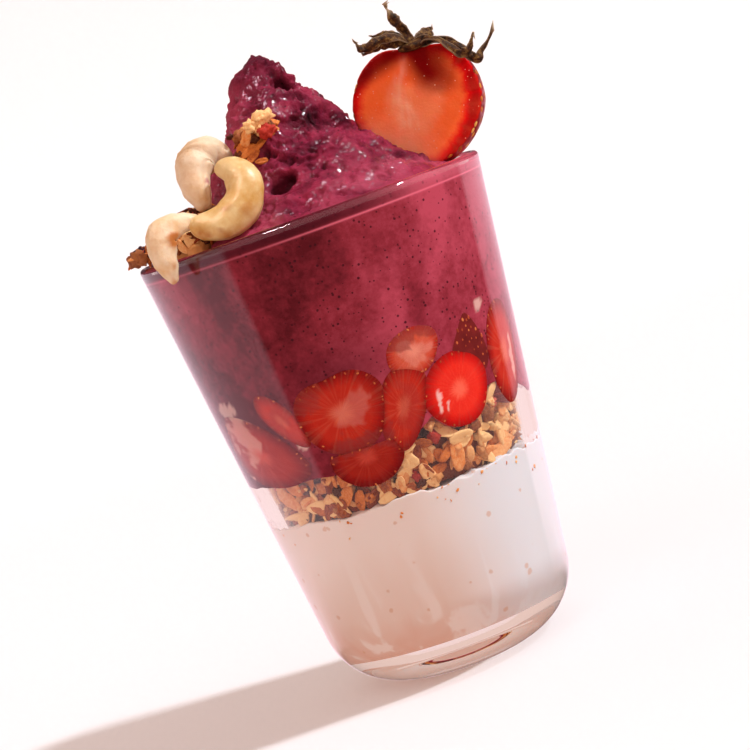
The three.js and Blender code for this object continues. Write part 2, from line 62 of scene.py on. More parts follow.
Shape = bmesh.types.BMesh
Tree = bpy.types.NodeTree
Source = bpy.types.NodeSocket | bpy.types.Node  # what feeds a socket: a node stands for its first output
Inputs = dict[str | int, object]
Maker = Callable[[random.Random], Shape]


# ---- small tools ----


def linear(code: str) -> tuple[float, float, float, float]:
    """Turns an sRGB hex colour, such as "#a03050", to linear red, green and blue with a full alpha."""

    def channel(value: float) -> float:
        """One sRGB value from 0 to 1 as linear light."""
        return value / 12.92 if value <= 0.04045 else ((value + 0.055) / 1.055) ** 2.4

    red, green, blue = (channel(int(code[i : i + 2], 16) / 255) for i in (1, 3, 5))
    return red, green, blue, 1.0


def add_node(
    tree: Tree,
    kind: str,
    inputs: Inputs | None = None,
    stops: Sequence[tuple[float, str]] = (),
    **settings: object,
) -> bpy.types.Node:
    """Adds a shader node with its settings and links.

    Args:
        tree: The node tree that it goes into.
        kind: Blender's name for the node type, without "ShaderNode" before it.
        inputs: Values or sources for its inputs, by name or number.
        stops: Places and sRGB colours of a colour ramp.
        **settings: Properties of the node itself.

    Returns:
        The new node.
    """
    node = tree.nodes.new(f"ShaderNode{kind}")
    for name, value in settings.items():
        setattr(node, name, value)
    for name, value in (inputs or {}).items():
        if isinstance(value, bpy.types.Node):
            value = value.outputs[0]
        if isinstance(value, bpy.types.NodeSocket):
            tree.links.new(value, node.inputs[name])
        else:
            node.inputs[name].default_value = value
    if stops:
        elements = node.color_ramp.elements
        while len(elements) < len(stops):
            elements.new(0.5)
        for element, (place, code) in zip(elements, stops):
            element.position = place
            element.color = linear(code)
    return node


def layered(tree: Tree, colour: Source, *layers: tuple[Source | str, str]) -> Source:
    """Adds nodes that lay colours one over another.

    Args:
        tree: The node tree that they go into.
        colour: The undermost colour.
        *layers: How much of each layer shows, as a source or a vertex attribute's name, and its sRGB colour.

    Returns:
        The colour that shows.
    """
    for share, code in layers:
        if isinstance(share, str):
            share = add_node(tree, "Attribute", attribute_name=share).outputs["Fac"]
        colour = add_node(tree, "MixRGB", {"Fac": share, "Color1": colour, "Color2": linear(code)})
    return colour


def mix(low: float, high: float, share: float) -> float:
    """The value that lies this share of the way from low to high."""
    return low + (high - low) * share


def ease(value: float, low: float, high: float) -> float:
    """Rises smoothly from 0 at low to 1 at high."""
    share = min(1.0, max(0.0, (value - low) / (high - low)))
    return share * share * (3 - 2 * share)


def lumps(point: Vector, size: float, shift: float = 0.0) -> float:
    """Smooth noise from about -1 to 1 with lumps about size across."""
    return noise.noise(point / size + Vector((shift, -shift, 3 * shift)))


def on_wall(bearing: float, radius: float, height: float) -> Vector:
    """The place at a bearing in degrees, a distance from the axis and a height."""
    angle = math.radians(bearing)
    return Vector((radius * math.sin(angle), -radius * math.cos(angle), height))


def bearing_of(place: Vector) -> float:
    """The bearing in degrees at which a place lies."""
    return math.degrees(math.atan2(place.x, -place.y))


def nearest_of(places: Sequence[Vector]) -> KDTree:
    """A tree that finds the nearest of the places."""
    tree = KDTree(len(places))
    for i, place in enumerate(places):
        tree.insert(place, i)
    tree.balance()
    return tree


def spline(points: Sequence[Vector], share: float) -> Vector:
    """A smooth curve through the points.

    Args:
        points: What the curve passes through.
        share: How far along, from 0 to 1.

    Returns:
        The place on the curve.
    """
    place = min(max(share, 0.0), 1.0) * (len(points) - 1)
    i = min(int(place), len(points) - 2)
    t = place - i
    before = points[i - 1] if i else 2 * points[0] - points[1]
    after = points[i + 2] if i + 2 < len(points) else 2 * points[-1] - points[-2]
    return 0.5 * (
        2 * points[i]
        + (points[i + 1] - before) * t
        + (2 * before - 5 * points[i] + 4 * points[i + 1] - after) * t * t
        + (3 * points[i] - before - 3 * points[i + 1] + after) * t * t * t
    )


def heading(points: Sequence[Vector], share: float) -> Vector:
    """The direction of the smooth curve through the points, at this share of its length."""
    step = 0.01
    return (spline(points, share + step) - spline(points, share - step)).normalized()


# ---- meshes ----


def meshed(shape: Shape, name: str) -> bpy.types.Mesh:
    """Turns a shape, which is used up, to a named mesh."""
    mesh = bpy.data.meshes.new(name)
    shape.to_mesh(mesh)
    shape.free()
    return mesh


def add_object(name: str, data: bpy.types.ID) -> bpy.types.Object:
    """Adds an object with this data to the scene."""
    thing = bpy.data.objects.new(name, data)
    bpy.context.scene.collection.objects.link(thing)
    return thing


def copied(node: str) -> Shape:
    """A copy of a CAD node's mesh with its loose triangles merged."""
    shape = bmesh.new()
    shape.from_mesh(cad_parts[node].data)
    bmesh.ops.remove_doubles(shape, verts=shape.verts, dist=0.002 * MM)
    return shape


def remeshed(shape: Shape, voxel: float, smoothing: int = 0) -> Shape:
    """Gives a closed shape an even skin of small faces.

    Args:
        shape: The closed shape, which is used up.
        voxel: The size of the new faces.
        smoothing: How many rounds of smoothing follow.

    Returns:
        The new shape.
    """
    mesh = meshed(shape, "remeshed")
    carrier = add_object("remeshed", mesh)
    carrier.modifiers.new("remesh", "REMESH").voxel_size = voxel
    evaluated = carrier.evaluated_get(bpy.context.evaluated_depsgraph_get())
    fine = bmesh.new()
    fine.from_mesh(evaluated.to_mesh())
    evaluated.to_mesh_clear()
    bpy.data.objects.remove(carrier)
    bpy.data.meshes.remove(mesh)
    for _ in range(smoothing):
        bmesh.ops.smooth_vert(
            fine, verts=fine.verts, factor=0.5, use_axis_x=True, use_axis_y=True, use_axis_z=True
        )
    fine.normal_update()
    return fine


def turned(profile: Iterable[tuple[float, float]], steps: int) -> Shape:
    """Spins a profile of radius and height right round the upright axis.

    Args:
        profile: The points, which start and end on the axis.
        steps: How many faces go round.

    Returns:
        The closed shape with its faces outward.
    """
    shape = bmesh.new()
    verts = [shape.verts.new((radius, 0, height)) for radius, height in profile]
    edges = [shape.edges.new(pair) for pair in zip(verts, verts[1:])]
    bmesh.ops.spin(
        shape, geom=verts + edges, cent=(0, 0, 0), axis=(0, 0, 1), dvec=(0, 0, 0),
        angle=math.tau, steps=steps, use_merge=True,
    )
    bmesh.ops.remove_doubles(shape, verts=shape.verts, dist=0.001 * MM)
    bmesh.ops.recalc_face_normals(shape, faces=shape.faces)
    shape.normal_update()
    return shape


def cut_off(shape: Shape, at: Sequence[float], facing: Sequence[float]) -> list[bmesh.types.BMEdge]:
    """Cuts away what lies past a plane and closes the cut.

    Args:
        shape: The closed shape.
        at: A place on the plane.
        facing: The direction of what is cut away.

    Returns:
        The edges round the cut.
    """
    bmesh.ops.bisect_plane(
        shape, geom=[*shape.verts, *shape.edges, *shape.faces], plane_co=at, plane_no=facing, clear_outer=True
    )
    rim = [edge for edge in shape.edges if edge.is_boundary]
    bmesh.ops.holes_fill(shape, edges=rim, sides=0)
    return rim


def ball(around: int, rings: int) -> Shape:
    """A ball of radius 1 with its poles up and down."""
    shape = bmesh.new()
    bmesh.ops.create_uvsphere(shape, u_segments=around, v_segments=rings, radius=1.0)
    return shape


def moved(shape: Shape, rule: Callable[[Vector], Vector]) -> Shape:
    """Moves each vertex to where the rule puts it and turns the faces outward."""
    for vert in shape.verts:
        vert.co = rule(vert.co.copy())
    bmesh.ops.recalc_face_normals(shape, faces=shape.faces)
    shape.normal_update()
    return shape


class Heap:
    """Many small things gathered into one mesh, each with a tone of its own."""

    def __init__(self) -> None:
        """Starts with nothing in the heap."""
        self.shape = bmesh.new()
        self.tones = self.shape.verts.layers.float.new(TONE)

    def add(self, thing: Shape, tone: float) -> None:
        """Puts one thing, which is used up, into the heap.

        Args:
            thing: The small closed shape, in place.
            tone: How dark it is, from 0 to 1.
        """
        mesh = meshed(thing, "thing")
        before = len(self.shape.verts)
        self.shape.from_mesh(mesh)
        bpy.data.meshes.remove(mesh)
        self.shape.verts.ensure_lookup_table()
        for vert in self.shape.verts[before:]:
            vert[self.tones] = tone


def add_piece(
    name: str,
    shape: Shape,
    finish: "Finish",
    slot: str,
    nodes: Sequence[str] = (),
) -> bpy.types.Object:
    """Makes a shape a piece of the scene that rides on the frame.

    Args:
        name: The piece's name.
        shape: Its closed shape, which is used up.
        finish: What its surface is.
        slot: The name of a material slot, which is not used.
        nodes: The CAD nodes that it stands for.

    Returns:
        The new object.
    """
    mesh = meshed(shape, name)
    mesh.shade_smooth()
    mesh.materials.append(finish.material())
    piece = add_object(name, mesh)
    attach(piece, BODY)
    if nodes:
        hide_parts(*nodes)
    LOG.info("%s: %d faces", name, len(mesh.polygons))
    return piece


# ---- finishes ----


@dataclass(frozen=True)
class Finish:
    """What a surface is made of and how it came to be so."""

    label: str

    def surface(self, tree: Tree) -> Source:
        """Adds the finish's nodes and returns the shader that shows it."""
        raise NotImplementedError

    def material(self) -> bpy.types.Material:
        """The finish as a Blender material, made once."""
        made = bpy.data.materials.get(self.label)
        if made:
            return made
        made = bpy.data.materials.new(self.label)
        made.use_nodes = True
        tree = made.node_tree
        tree.nodes.clear()
        add_node(tree, "OutputMaterial", {"Surface": self.surface(tree)})
        return made


@dataclass(frozen=True)
class ClearGlass(Finish):
    """Soda-lime glass, pressed and fire polished: quite clear, with sharp reflections."""

    label: str = "soda_lime_glass_fire_polished"
    tint: str = "#fbfaf8"
    ior: float = 1.5
    shadow_tint: str = "#f6f3f2"  # of the light that it lets through to what is inside
    most_bounces: float = 3.5  # light that is still in the glass after these leaves it straight

    def surface(self, tree: Tree) -> Source:
        """Glass to the eye, and clear to the light that falls on what is inside."""
        body = add_node(tree, "BsdfPrincipled", {
            "Base Color": linear(self.tint), "Roughness": 0.0, "IOR": self.ior, "Transmission Weight": 1.0,
        })
        clear = add_node(tree, "BsdfTransparent", {"Color": linear(self.shadow_tint)})
        path = add_node(tree, "LightPath")
        lighting = add_node(tree, "Math", {
            0: path.outputs["Is Shadow Ray"], 1: path.outputs["Is Diffuse Ray"],
        }, operation="MAXIMUM")
        trapped = add_node(tree, "Math", {
            0: path.outputs["Ray Depth"], 1: self.most_bounces,
        }, operation="GREATER_THAN")
        passing = add_node(tree, "Math", {0: lighting, 1: trapped}, operation="MAXIMUM")
        return add_node(tree, "MixShader", {"Fac": passing, 1: body, 2: clear})


@dataclass(frozen=True)
class Dots:
    """Dots of chance sizes strewn through a solid."""

    spacing: float  # from dot to dot
    missing: float  # the share of places left empty
    size: float  # the largest dot's radius, as a share of the spacing
    softness: float  # of a dot's edge, as a share of the spacing
    strength: float  # how much of its colour shows in a dot's middle

    def mask(self, tree: Tree, place: Source) -> Source:
        """Adds the dots' nodes.

        Args:
            tree: The node tree that they go into.
            place: The place that is shaded.

        Returns:
            How much of a dot shows there.
        """
        cells = add_node(tree, "TexVoronoi", {"Vector": place, "Scale": 1 / self.spacing, "Randomness": 1.0})
        chance = add_node(tree, "SeparateXYZ", {0: cells.outputs["Color"]}).outputs["X"]
        radius = add_node(tree, "MapRange", {
            "Value": chance, "From Min": self.missing, "From Max": 1.0, "To Min": 0.0, "To Max": self.size,
        })
        inside = add_node(tree, "Math", {0: radius, 1: cells.outputs["Distance"]}, operation="SUBTRACT")
        return add_node(tree, "MapRange", {
            "Value": inside, "From Min": 0.0, "From Max": self.softness, "To Max": self.strength,
        })


@dataclass(frozen=True)
class SetYogurt(Finish):
    """Stirred yogurt set in the glass: milky and faintly pink, with painted light: tan low down, bluish white
    to the right.
    """

    label: str = "yogurt_stirred_and_set"
    # Painted warm light from below: tan low down, growing pale upward.
    low: str = "#dcae9a"
    middle: str = "#e8d6cc"
    high: str = "#f2ebe7"
    painted_cool_light: str = "#dae7f1"
    crumb: str = "#d09c72"
    low_height: float = 7 * MM
    high_height: float = 38 * MM
    streak: float = 7 * MM
    sway: float = 14 * MM  # how far the streaks shift the tints up and down in all
    cool_light_from: float = -4 * MM  # how far to the right of the axis the painted bluish light begins
    cool_light_to: float = 22 * MM
    cool_light_share: float = 0.85
    crumbs: Dots = Dots(4 * MM, missing=0.3, size=0.22, softness=0.05, strength=0.45)

    def surface(self, tree: Tree) -> Source:
        """Tint by height, tan low down as painted warm light, with soft upright streaks, painted bluish light
        to the right and a few tan crumbs.
        """
        place = add_node(tree, "TexCoord").outputs["Object"]
        height = add_node(tree, "SeparateXYZ", {0: place}).outputs["Z"]
        stretched = add_node(tree, "Mapping", {
            "Vector": place, "Scale": (1 / self.streak, 1 / self.streak, 0.25 / self.streak),
        })
        streaks = add_node(tree, "TexNoise", {
            "Vector": stretched, "Scale": 1.0, "Detail": 3.0, "Distortion": 0.6,
        }).outputs["Fac"]
        shift = add_node(tree, "Math", {
            0: streaks, 1: self.sway, 2: -self.sway / 2,
        }, operation="MULTIPLY_ADD")
        level = add_node(tree, "Math", {0: height, 1: shift}, operation="ADD")
        share = add_node(tree, "MapRange", {
            "Value": level, "From Min": self.low_height, "From Max": self.high_height,
        })
        tint = add_node(tree, "ValToRGB", {"Fac": share}, stops=(
            (0.0, self.low), (0.4, self.middle), (1.0, self.high),
        ))
        warp = add_node(tree, "TexNoise", {
            "Vector": place, "Scale": 1 / (1.2 * MM), "Detail": 2.0,
        }).outputs["Color"]
        warped = add_node(tree, "VectorMath", {
            0: warp, 1: (0.8 * MM, 0.8 * MM, 0.8 * MM), 2: place,
        }, operation="MULTIPLY_ADD")
        wiped = add_node(tree, "MapRange", {
            "Value": streaks, "From Min": 0.53, "From Max": 0.6, "To Max": 0.6,
        })
        # Painted light: bluish white to the right, where the light falls.
        across = add_node(tree, "SeparateXYZ", {0: place}).outputs["X"]
        painted_cool_share = add_node(tree, "MapRange", {
            "Value": across, "From Min": self.cool_light_from, "From Max": self.cool_light_to, "To Max": self.cool_light_share,
        }, interpolation_type="SMOOTHSTEP")
        crumbs = self.crumbs.mask(tree, warped)
        colour = layered(tree, tint, (wiped, self.high), (painted_cool_share, self.painted_cool_light), (crumbs, self.crumb))
        return add_node(tree, "BsdfPrincipled", {
            "Base Color": colour, "Roughness": 0.6, "Specular IOR Level": WETTED, "Subsurface Weight": 0.25,
            "Subsurface Radius": (1.0, 0.6, 0.5), "Subsurface Scale": 2 * MM,
        })


@dataclass(frozen=True)
class PressedSmoothie(Finish):
    """Frozen berries blended with yogurt and pressed on glass: matt, banded, with dark skin specks, lighter
    to the right as painted light, and patches of painted shade.
    """

    label: str = "berry_smoothie_pressed_on_glass"
    dark: str = "#601520"
    middle: str = "#922e3e"
    light: str = "#bd4c62"
    speck: str = "#3c0e1a"
    cream: str = "#ecc9c0"
    froth: str = "#e8748e"
    # painted shade over the froth line and on a patch above the slices
    painted_shade: str = "#4c0f1e"
    band: float = 24 * MM
    mottle: float = 5 * MM
    curd: float = 1.4 * MM
    specks: Dots = Dots(1.1 * MM, missing=0.25, size=0.34, softness=0.07, strength=0.85)
    lit_side: float = 40 * MM  # how far to the right of the axis the painted light makes the blend palest
    lit_paleness: float = 0.19  # how much lighter the painted light makes it there

    def surface(self, tree: Tree) -> Source:
        """Soft upright bands and mottling, fine dark specks of berry skin, painted light to the right and
        painted shade.
        """
        place = add_node(tree, "TexCoord").outputs["Object"]
        stretched = add_node(tree, "Mapping", {
            "Vector": place, "Scale": (1 / self.band, 1 / self.band, 0.5 / self.band),
        })
        bands = add_node(tree, "TexNoise", {
            "Vector": stretched, "Scale": 1.0, "Detail": 2.0, "Distortion": 0.4,
        }).outputs["Fac"]
        mottling = add_node(tree, "TexNoise", {
            "Vector": place, "Scale": 1 / self.mottle, "Detail": 5.0, "Roughness": 0.65,
        }).outputs["Fac"]
        both = add_node(tree, "Math", {0: mottling, 1: 0.45, 2: bands}, operation="MULTIPLY_ADD")
        curds = add_node(tree, "TexNoise", {
            "Vector": place, "Scale": 1 / self.curd, "Detail": 4.0, "Roughness": 0.7,
        }).outputs["Fac"]
        grained = add_node(tree, "Math", {0: curds, 1: 0.3, 2: both}, operation="MULTIPLY_ADD")
        # Painted light: lighter towards the right, where the light falls.
        across = add_node(tree, "SeparateXYZ", {0: place}).outputs["X"]
        leaning = add_node(tree, "Math", {
            0: across, 1: self.lit_paleness / self.lit_side, 2: grained,
        }, operation="MULTIPLY_ADD")
        share = add_node(tree, "MapRange", {"Value": leaning, "From Min": 0.65, "From Max": 1.08})
        tint = add_node(tree, "ValToRGB", {"Fac": share}, stops=(
            (0.0, self.dark), (0.45, self.middle), (1.0, self.light),
        ))
        specks = self.specks.mask(tree, place)
        colour = layered(
            tree, tint, (specks, self.speck), (FILM, self.cream), (TONE, self.froth), (HAZE, self.painted_shade)
        )
        return add_node(tree, "BsdfPrincipled", {
            "Base Color": colour, "Roughness": 0.6, "Specular IOR Level": WETTED, "Subsurface Weight": 0.1,
            "Subsurface Radius": (1.0, 0.25, 0.3), "Subsurface Scale": 1.5 * MM,
        })


@dataclass(frozen=True)
class ScoopedSmoothie(Finish):
    """The same smoothie scooped half frozen: rough and craggy, with a melting film that sparkles; lighter on
    its crests and left side as painted light, darker in its hollows as painted shade.
    """

    label: str = "berry_smoothie_scooped"
    dark: str = "#380818"
    middle: str = "#721a34"
    light: str = "#9c304c"
    # melt, with painted light on the mound's crests and left side
    melt_and_painted_light: str = "#b04a62"
    # painted shade in the mound's hollows and crags, and its darker top
    deep: str = "#22050c"
    speck: str = "#2c0913"
    mottle: float = 7 * MM
    crystal: float = 1 * MM
    roughness_depth: float = 0.34 * MM
    melt: float = 4 * MM
    speck_spacing: float = 2.4 * MM

    def surface(self, tree: Tree) -> Source:
        """Mottled berry colour under a wet, finely broken surface."""
        place = add_node(tree, "TexCoord").outputs["Object"]
        mottling = add_node(tree, "TexNoise", {
            "Vector": place, "Scale": 1 / self.mottle, "Detail": 6.0, "Roughness": 0.6, "Distortion": 0.3,
        }).outputs["Fac"]
        share = add_node(tree, "MapRange", {"Value": mottling, "From Min": 0.3, "From Max": 0.68})
        tint = add_node(tree, "ValToRGB", {"Fac": share}, stops=(
            (0.0, self.dark), (0.4, self.middle), (1.0, self.light),
        ))
        spots = add_node(tree, "TexVoronoi", {
            "Vector": place, "Scale": 1 / self.speck_spacing, "Randomness": 1.0,
        }).outputs["Distance"]
        near = add_node(tree, "MapRange", {
            "Value": spots, "From Min": 0.16, "From Max": 0.1, "To Min": 0.0, "To Max": 0.6,
        })
        colour = layered(tree, tint, (near, self.speck), (FILM, self.melt_and_painted_light), (HAZE, self.deep))
        grain = add_node(tree, "TexNoise", {
            "Vector": place, "Scale": 1 / self.crystal, "Detail": 1.6, "Roughness": 0.6,
        }).outputs["Fac"]
        bump = add_node(tree, "Bump", {"Height": grain, "Strength": 1.0, "Distance": self.roughness_depth})
        melting = add_node(tree, "TexNoise", {
            "Vector": place, "Scale": 1 / self.melt, "Detail": 3.0,
        }).outputs["Fac"]
        wet = add_node(tree, "MapRange", {"Value": melting, "From Min": 0.49, "From Max": 0.57})
        return add_node(tree, "BsdfPrincipled", {
            "Base Color": colour, "Roughness": 0.6, "Specular IOR Level": 0.06, "Normal": bump,
            "Coat Weight": wet, "Coat Roughness": 0.07, "Coat Normal": bump,
            "Subsurface Weight": 0.12, "Subsurface Radius": (1.0, 0.25, 0.3), "Subsurface Scale": 1.5 * MM,
        })


@dataclass(frozen=True)
class CutStrawberry(Finish):
    """Ripe strawberry cut with a knife: wet flesh with pale fibres that fan out to a deep red edge."""

    label: str = "strawberry_flesh_cut"
    edge: str = "#78080c"
    outer: str = "#ac1c14"
    flesh: str = "#c83220"
    heart: str = "#e06a50"
    film: str = "#e8b2a8"  # smeared cream and painted glints, or the half berry's palest fibres and its painted glow
    haze: str = "#94403f"  # juice, or the half berry's deep red core and the painted shadow of its sepals
    fibre_fan: float = 9.0  # how fine the fan of fibres is: noise lumps in a circle's radius
    fibre_strength: float = 0.48
    glow: float = 2 * MM  # how far light wanders in the flesh
    softness: float = 0.6
    shine: float = WETTED
    raggedness: float = 0.6  # how far the fibres carry the edge's red inward
    painted_glints: Dots | None = None  # painted highlights: small pale dots for the glints on drops of juice on the cut
    grain: float = 0.6 * MM
    grain_depth: float = 0.22 * MM
    stops: tuple[float, float, float, float, float] = (0.12, 0.32, 0.62, 0.8, 0.98)

    def surface(self, tree: Tree) -> Source:
        """Fanned fibres from a pale heart to the red edge, under smears of juice, painted shade and painted
        glints.
        """
        berry = add_node(tree, "Attribute", attribute_name=BERRY).outputs["Vector"]
        parts = add_node(tree, "SeparateXYZ", {0: berry})
        flat = add_node(tree, "CombineXYZ", {"X": parts.outputs["X"], "Y": parts.outputs["Y"]})
        outward = add_node(tree, "VectorMath", {0: flat}, operation="NORMALIZE")
        fan = add_node(tree, "VectorMath", {0: outward, "Scale": self.fibre_fan}, operation="SCALE")
        fibres = add_node(tree, "TexNoise", {
            "Vector": fan, "Scale": 1.0, "Detail": 3.0, "Roughness": 0.55, "Distortion": 0.25,
        }).outputs["Fac"]
        ragged = add_node(tree, "Math", {
            0: fibres, 1: self.raggedness, 2: -self.raggedness / 2,
        }, operation="MULTIPLY_ADD")
        reach = add_node(tree, "Math", {0: parts.outputs["Z"], 1: ragged}, operation="ADD")
        shades = (self.heart, self.flesh, self.flesh, self.outer, self.edge)
        stops = tuple(zip(self.stops, shades))
        tint = add_node(tree, "ValToRGB", {"Fac": reach}, stops=stops)
        streaks = add_node(tree, "MapRange", {
            "Value": fibres, "From Min": 0.46, "From Max": 0.74, "To Max": self.fibre_strength,
        })
        colour = layered(tree, tint, (streaks, self.heart), (FILM, self.film), (HAZE, self.haze))
        place = add_node(tree, "TexCoord").outputs["Object"]
        if self.painted_glints:
            colour = layered(tree, colour, (self.painted_glints.mask(tree, place), self.film))
        grain = add_node(tree, "TexNoise", {
            "Vector": place, "Scale": 1 / self.grain, "Detail": 2.0,
        }).outputs["Fac"]
        bump = add_node(tree, "Bump", {"Height": grain, "Strength": 0.55, "Distance": self.grain_depth})
        return add_node(tree, "BsdfPrincipled", {
            "Base Color": colour, "Roughness": 0.28, "Normal": bump, "Specular IOR Level": self.shine,
            "Subsurface Weight": self.softness, "Subsurface Radius": (1.0, 0.12, 0.05),
            "Subsurface Scale": self.glow,
        })


HALVED_FLESH = CutStrawberry(
    "strawberry_flesh_halved", edge="#b4060c", outer="#e41012", flesh="#ff7439", heart="#ff8c5c",
    film="#ffc8b0", haze="#820204", fibre_fan=3.2, fibre_strength=0.16, glow=3 * MM, softness=0.9,
    shine=0.05, raggedness=0.42, stops=(0.12, 0.35, 0.7, 0.88, 1.0),
    painted_glints=Dots(0.8 * MM, missing=0.45, size=0.22, softness=0.06, strength=0.75),
)
RIPE_FLESH = CutStrawberry()
DEEP_FLESH = CutStrawberry(
    "strawberry_flesh_cut_deep", edge="#68080a", outer="#921410", flesh="#ac281a", heart="#d05040"
)
BRIGHT_FLESH = CutStrawberry(
    "strawberry_flesh_cut_bright", edge="#a00a0c", outer="#d41812", flesh="#ec3424", heart="#ff7058",
    film="#ffe4de", fibre_strength=0.2, raggedness=0.4,
)
PALE_FLESH = CutStrawberry(
    "strawberry_flesh_cut_pale", edge="#a01c18", outer="#c8402c", flesh="#d86048", heart="#ec8c74",
    film="#f6c8b8",
)


@dataclass(frozen=True)
class StrawberrySkin(Finish):
    """Ripe strawberry skin: deep red and glossy, a little darker in the pits of its seeds."""

    label: str = "strawberry_skin"
    light: str = "#b81218"
    dark: str = "#6e0810"
    mottle: float = 3 * MM
    shine: float = 0.5

    def surface(self, tree: Tree) -> Source:
        """Deep red with soft mottling."""
        place = add_node(tree, "TexCoord").outputs["Object"]
        mottling = add_node(tree, "TexNoise", {
            "Vector": place, "Scale": 1 / self.mottle, "Detail": 3.0,
        }).outputs["Fac"]
        colour = add_node(tree, "MixRGB", {
            "Fac": mottling, "Color1": linear(self.dark), "Color2": linear(self.light),
        })
        return add_node(tree, "BsdfPrincipled", {
            "Base Color": colour, "Roughness": 0.35, "Specular IOR Level": self.shine,
        })


PRESSED_SKIN = StrawberrySkin("strawberry_skin_pressed", light="#8c2a28", dark="#4c1414", shine=WETTED)


@dataclass(frozen=True)
class Toned(Finish):
    """Small dry things, each a tone of its own between a few colours, with a fine rough grain."""

    light: str = "#f3d0a0"
    middle: str = "#d1945c"
    dark: str = "#96582f"
    grain: float = 0.7 * MM
    rough: float = 0.6
    depth: float = 0.15 * MM
    spread: float = 0.7  # how far the grain shifts the tone in all

    def surface(self, tree: Tree) -> Source:
        """The tone's colour, broken up by a grain that also roughens the surface."""
        tone = add_node(tree, "Attribute", attribute_name=TONE).outputs["Fac"]
        place = add_node(tree, "TexCoord").outputs["Object"]
        grain = add_node(tree, "TexNoise", {
            "Vector": place, "Scale": 1 / self.grain, "Detail": 4.0, "Roughness": 0.6,
        }).outputs["Fac"]
        spread = add_node(tree, "Math", {
            0: grain, 1: self.spread, 2: -self.spread / 2,
        }, operation="MULTIPLY_ADD")
        share = add_node(tree, "Math", {0: tone, 1: spread}, operation="ADD")
        colour = add_node(tree, "ValToRGB", {"Fac": share}, stops=(
            (0.05, self.light), (0.5, self.middle), (0.95, self.dark),
        ))
        bump = add_node(tree, "Bump", {"Height": grain, "Strength": 0.6, "Distance": self.depth})
        return add_node(tree, "BsdfPrincipled", {
            "Base Color": colour, "Roughness": self.rough, "Normal": bump, "Specular IOR Level": 0.2,
        })


ROLLED_OAT = Toned("rolled_oat_baked_with_honey", light="#ffd898", middle="#de8238", dark="#86340f")
BAKED_CLUSTER = Toned(
    "granola_cluster_baked", light="#d89a5c", middle="#8e4c26", dark="#4c2010", grain=1 * MM, depth=0.4 * MM
)
# Painted shade: dark granola for the band's core, standing for the shade between the things on it.
GRANOLA_IN_PAINTED_SHADE = Toned(
    "granola_cluster_in_painted_shade", light="#74341a", middle="#4a1e0e", dark="#2c1008",
    grain=1 * MM, depth=0.4 * MM,
)
STAINED_CLUSTER = Toned(
    "granola_cluster_stained_by_berry", light="#a8683c", middle="#5e2226", dark="#2e0e1c",
    grain=1 * MM, depth=0.4 * MM,
)
DRIED_BERRY = Toned(
    "strawberry_freeze_dried", light="#e2705a", middle="#c23a2c", dark="#7e1a18", grain=1 * MM
)
SEED_HUSK = Toned(
    "strawberry_seed", light="#f0c060", middle="#d88c34", dark="#a0521c", rough=0.35, depth=0.05 * MM
)
STAINED_SEED = Toned(
    "strawberry_seed_stained", light="#dc8044", middle="#bc5028", dark="#8c2e16",
    rough=0.35, depth=0.05 * MM,
)


@dataclass(frozen=True)
class RoastedCashew(Finish):
    """Cashew kernel, shelled and dried: waxy ivory with tan scars and a faintly chalky skin."""

    label: str = "cashew_kernel_dried"
    pale: str = "#f4dcb4"
    warm: str = "#ebc48a"
    scar: str = "#c98a4e"
    stain: str = "#a8405a"
    blotch: float = 5 * MM
    wrinkle: float = 1.5 * MM
    wrinkling: float = 0.4 * MM
    rough: float = 0.42

    def surface(self, tree: Tree) -> Source:
        """Soft blotches from ivory to honey, a few tan scars and a fine wrinkle."""
        place = add_node(tree, "TexCoord").outputs["Object"]
        blotches = add_node(tree, "TexNoise", {
            "Vector": place, "Scale": 1 / self.blotch, "Detail": 4.0, "Roughness": 0.6,
        }).outputs["Fac"]
        kernel = add_node(tree, "ValToRGB", {"Fac": blotches}, stops=(
            (0.4, self.pale), (0.66, self.warm), (0.9, self.scar),
        ))
        colour = layered(tree, kernel, (TONE, self.scar), (HAZE, self.stain))
        wrinkle = add_node(tree, "TexNoise", {
            "Vector": place, "Scale": 1 / self.wrinkle, "Detail": 5.0, "Roughness": 0.6, "Distortion": 0.5,
        }).outputs["Fac"]
        bump = add_node(tree, "Bump", {"Height": wrinkle, "Strength": 0.55, "Distance": self.wrinkling})
        return add_node(tree, "BsdfPrincipled", {
            "Base Color": colour, "Roughness": self.rough, "Normal": bump, "Subsurface Weight": 0.2,
            "Subsurface Radius": (1.0, 0.6, 0.3), "Subsurface Scale": 1.5 * MM,
        })


WAXY_CASHEW = RoastedCashew(
    "cashew_kernel_waxy", pale="#e4ca90", warm="#d2a458", scar="#b06c2c", wrinkling=0.2 * MM, rough=0.36
)
CHALKY_CASHEW = RoastedCashew(
    "cashew_kernel_chalky", pale="#ead7b8", warm="#dcbc90", scar="#c08450", rough=0.6
)
BROKEN_CASHEW = RoastedCashew(
    "cashew_kernel_broken", pale="#eddab8", warm="#e2bd8a", scar="#c47a38", rough=0.5
)


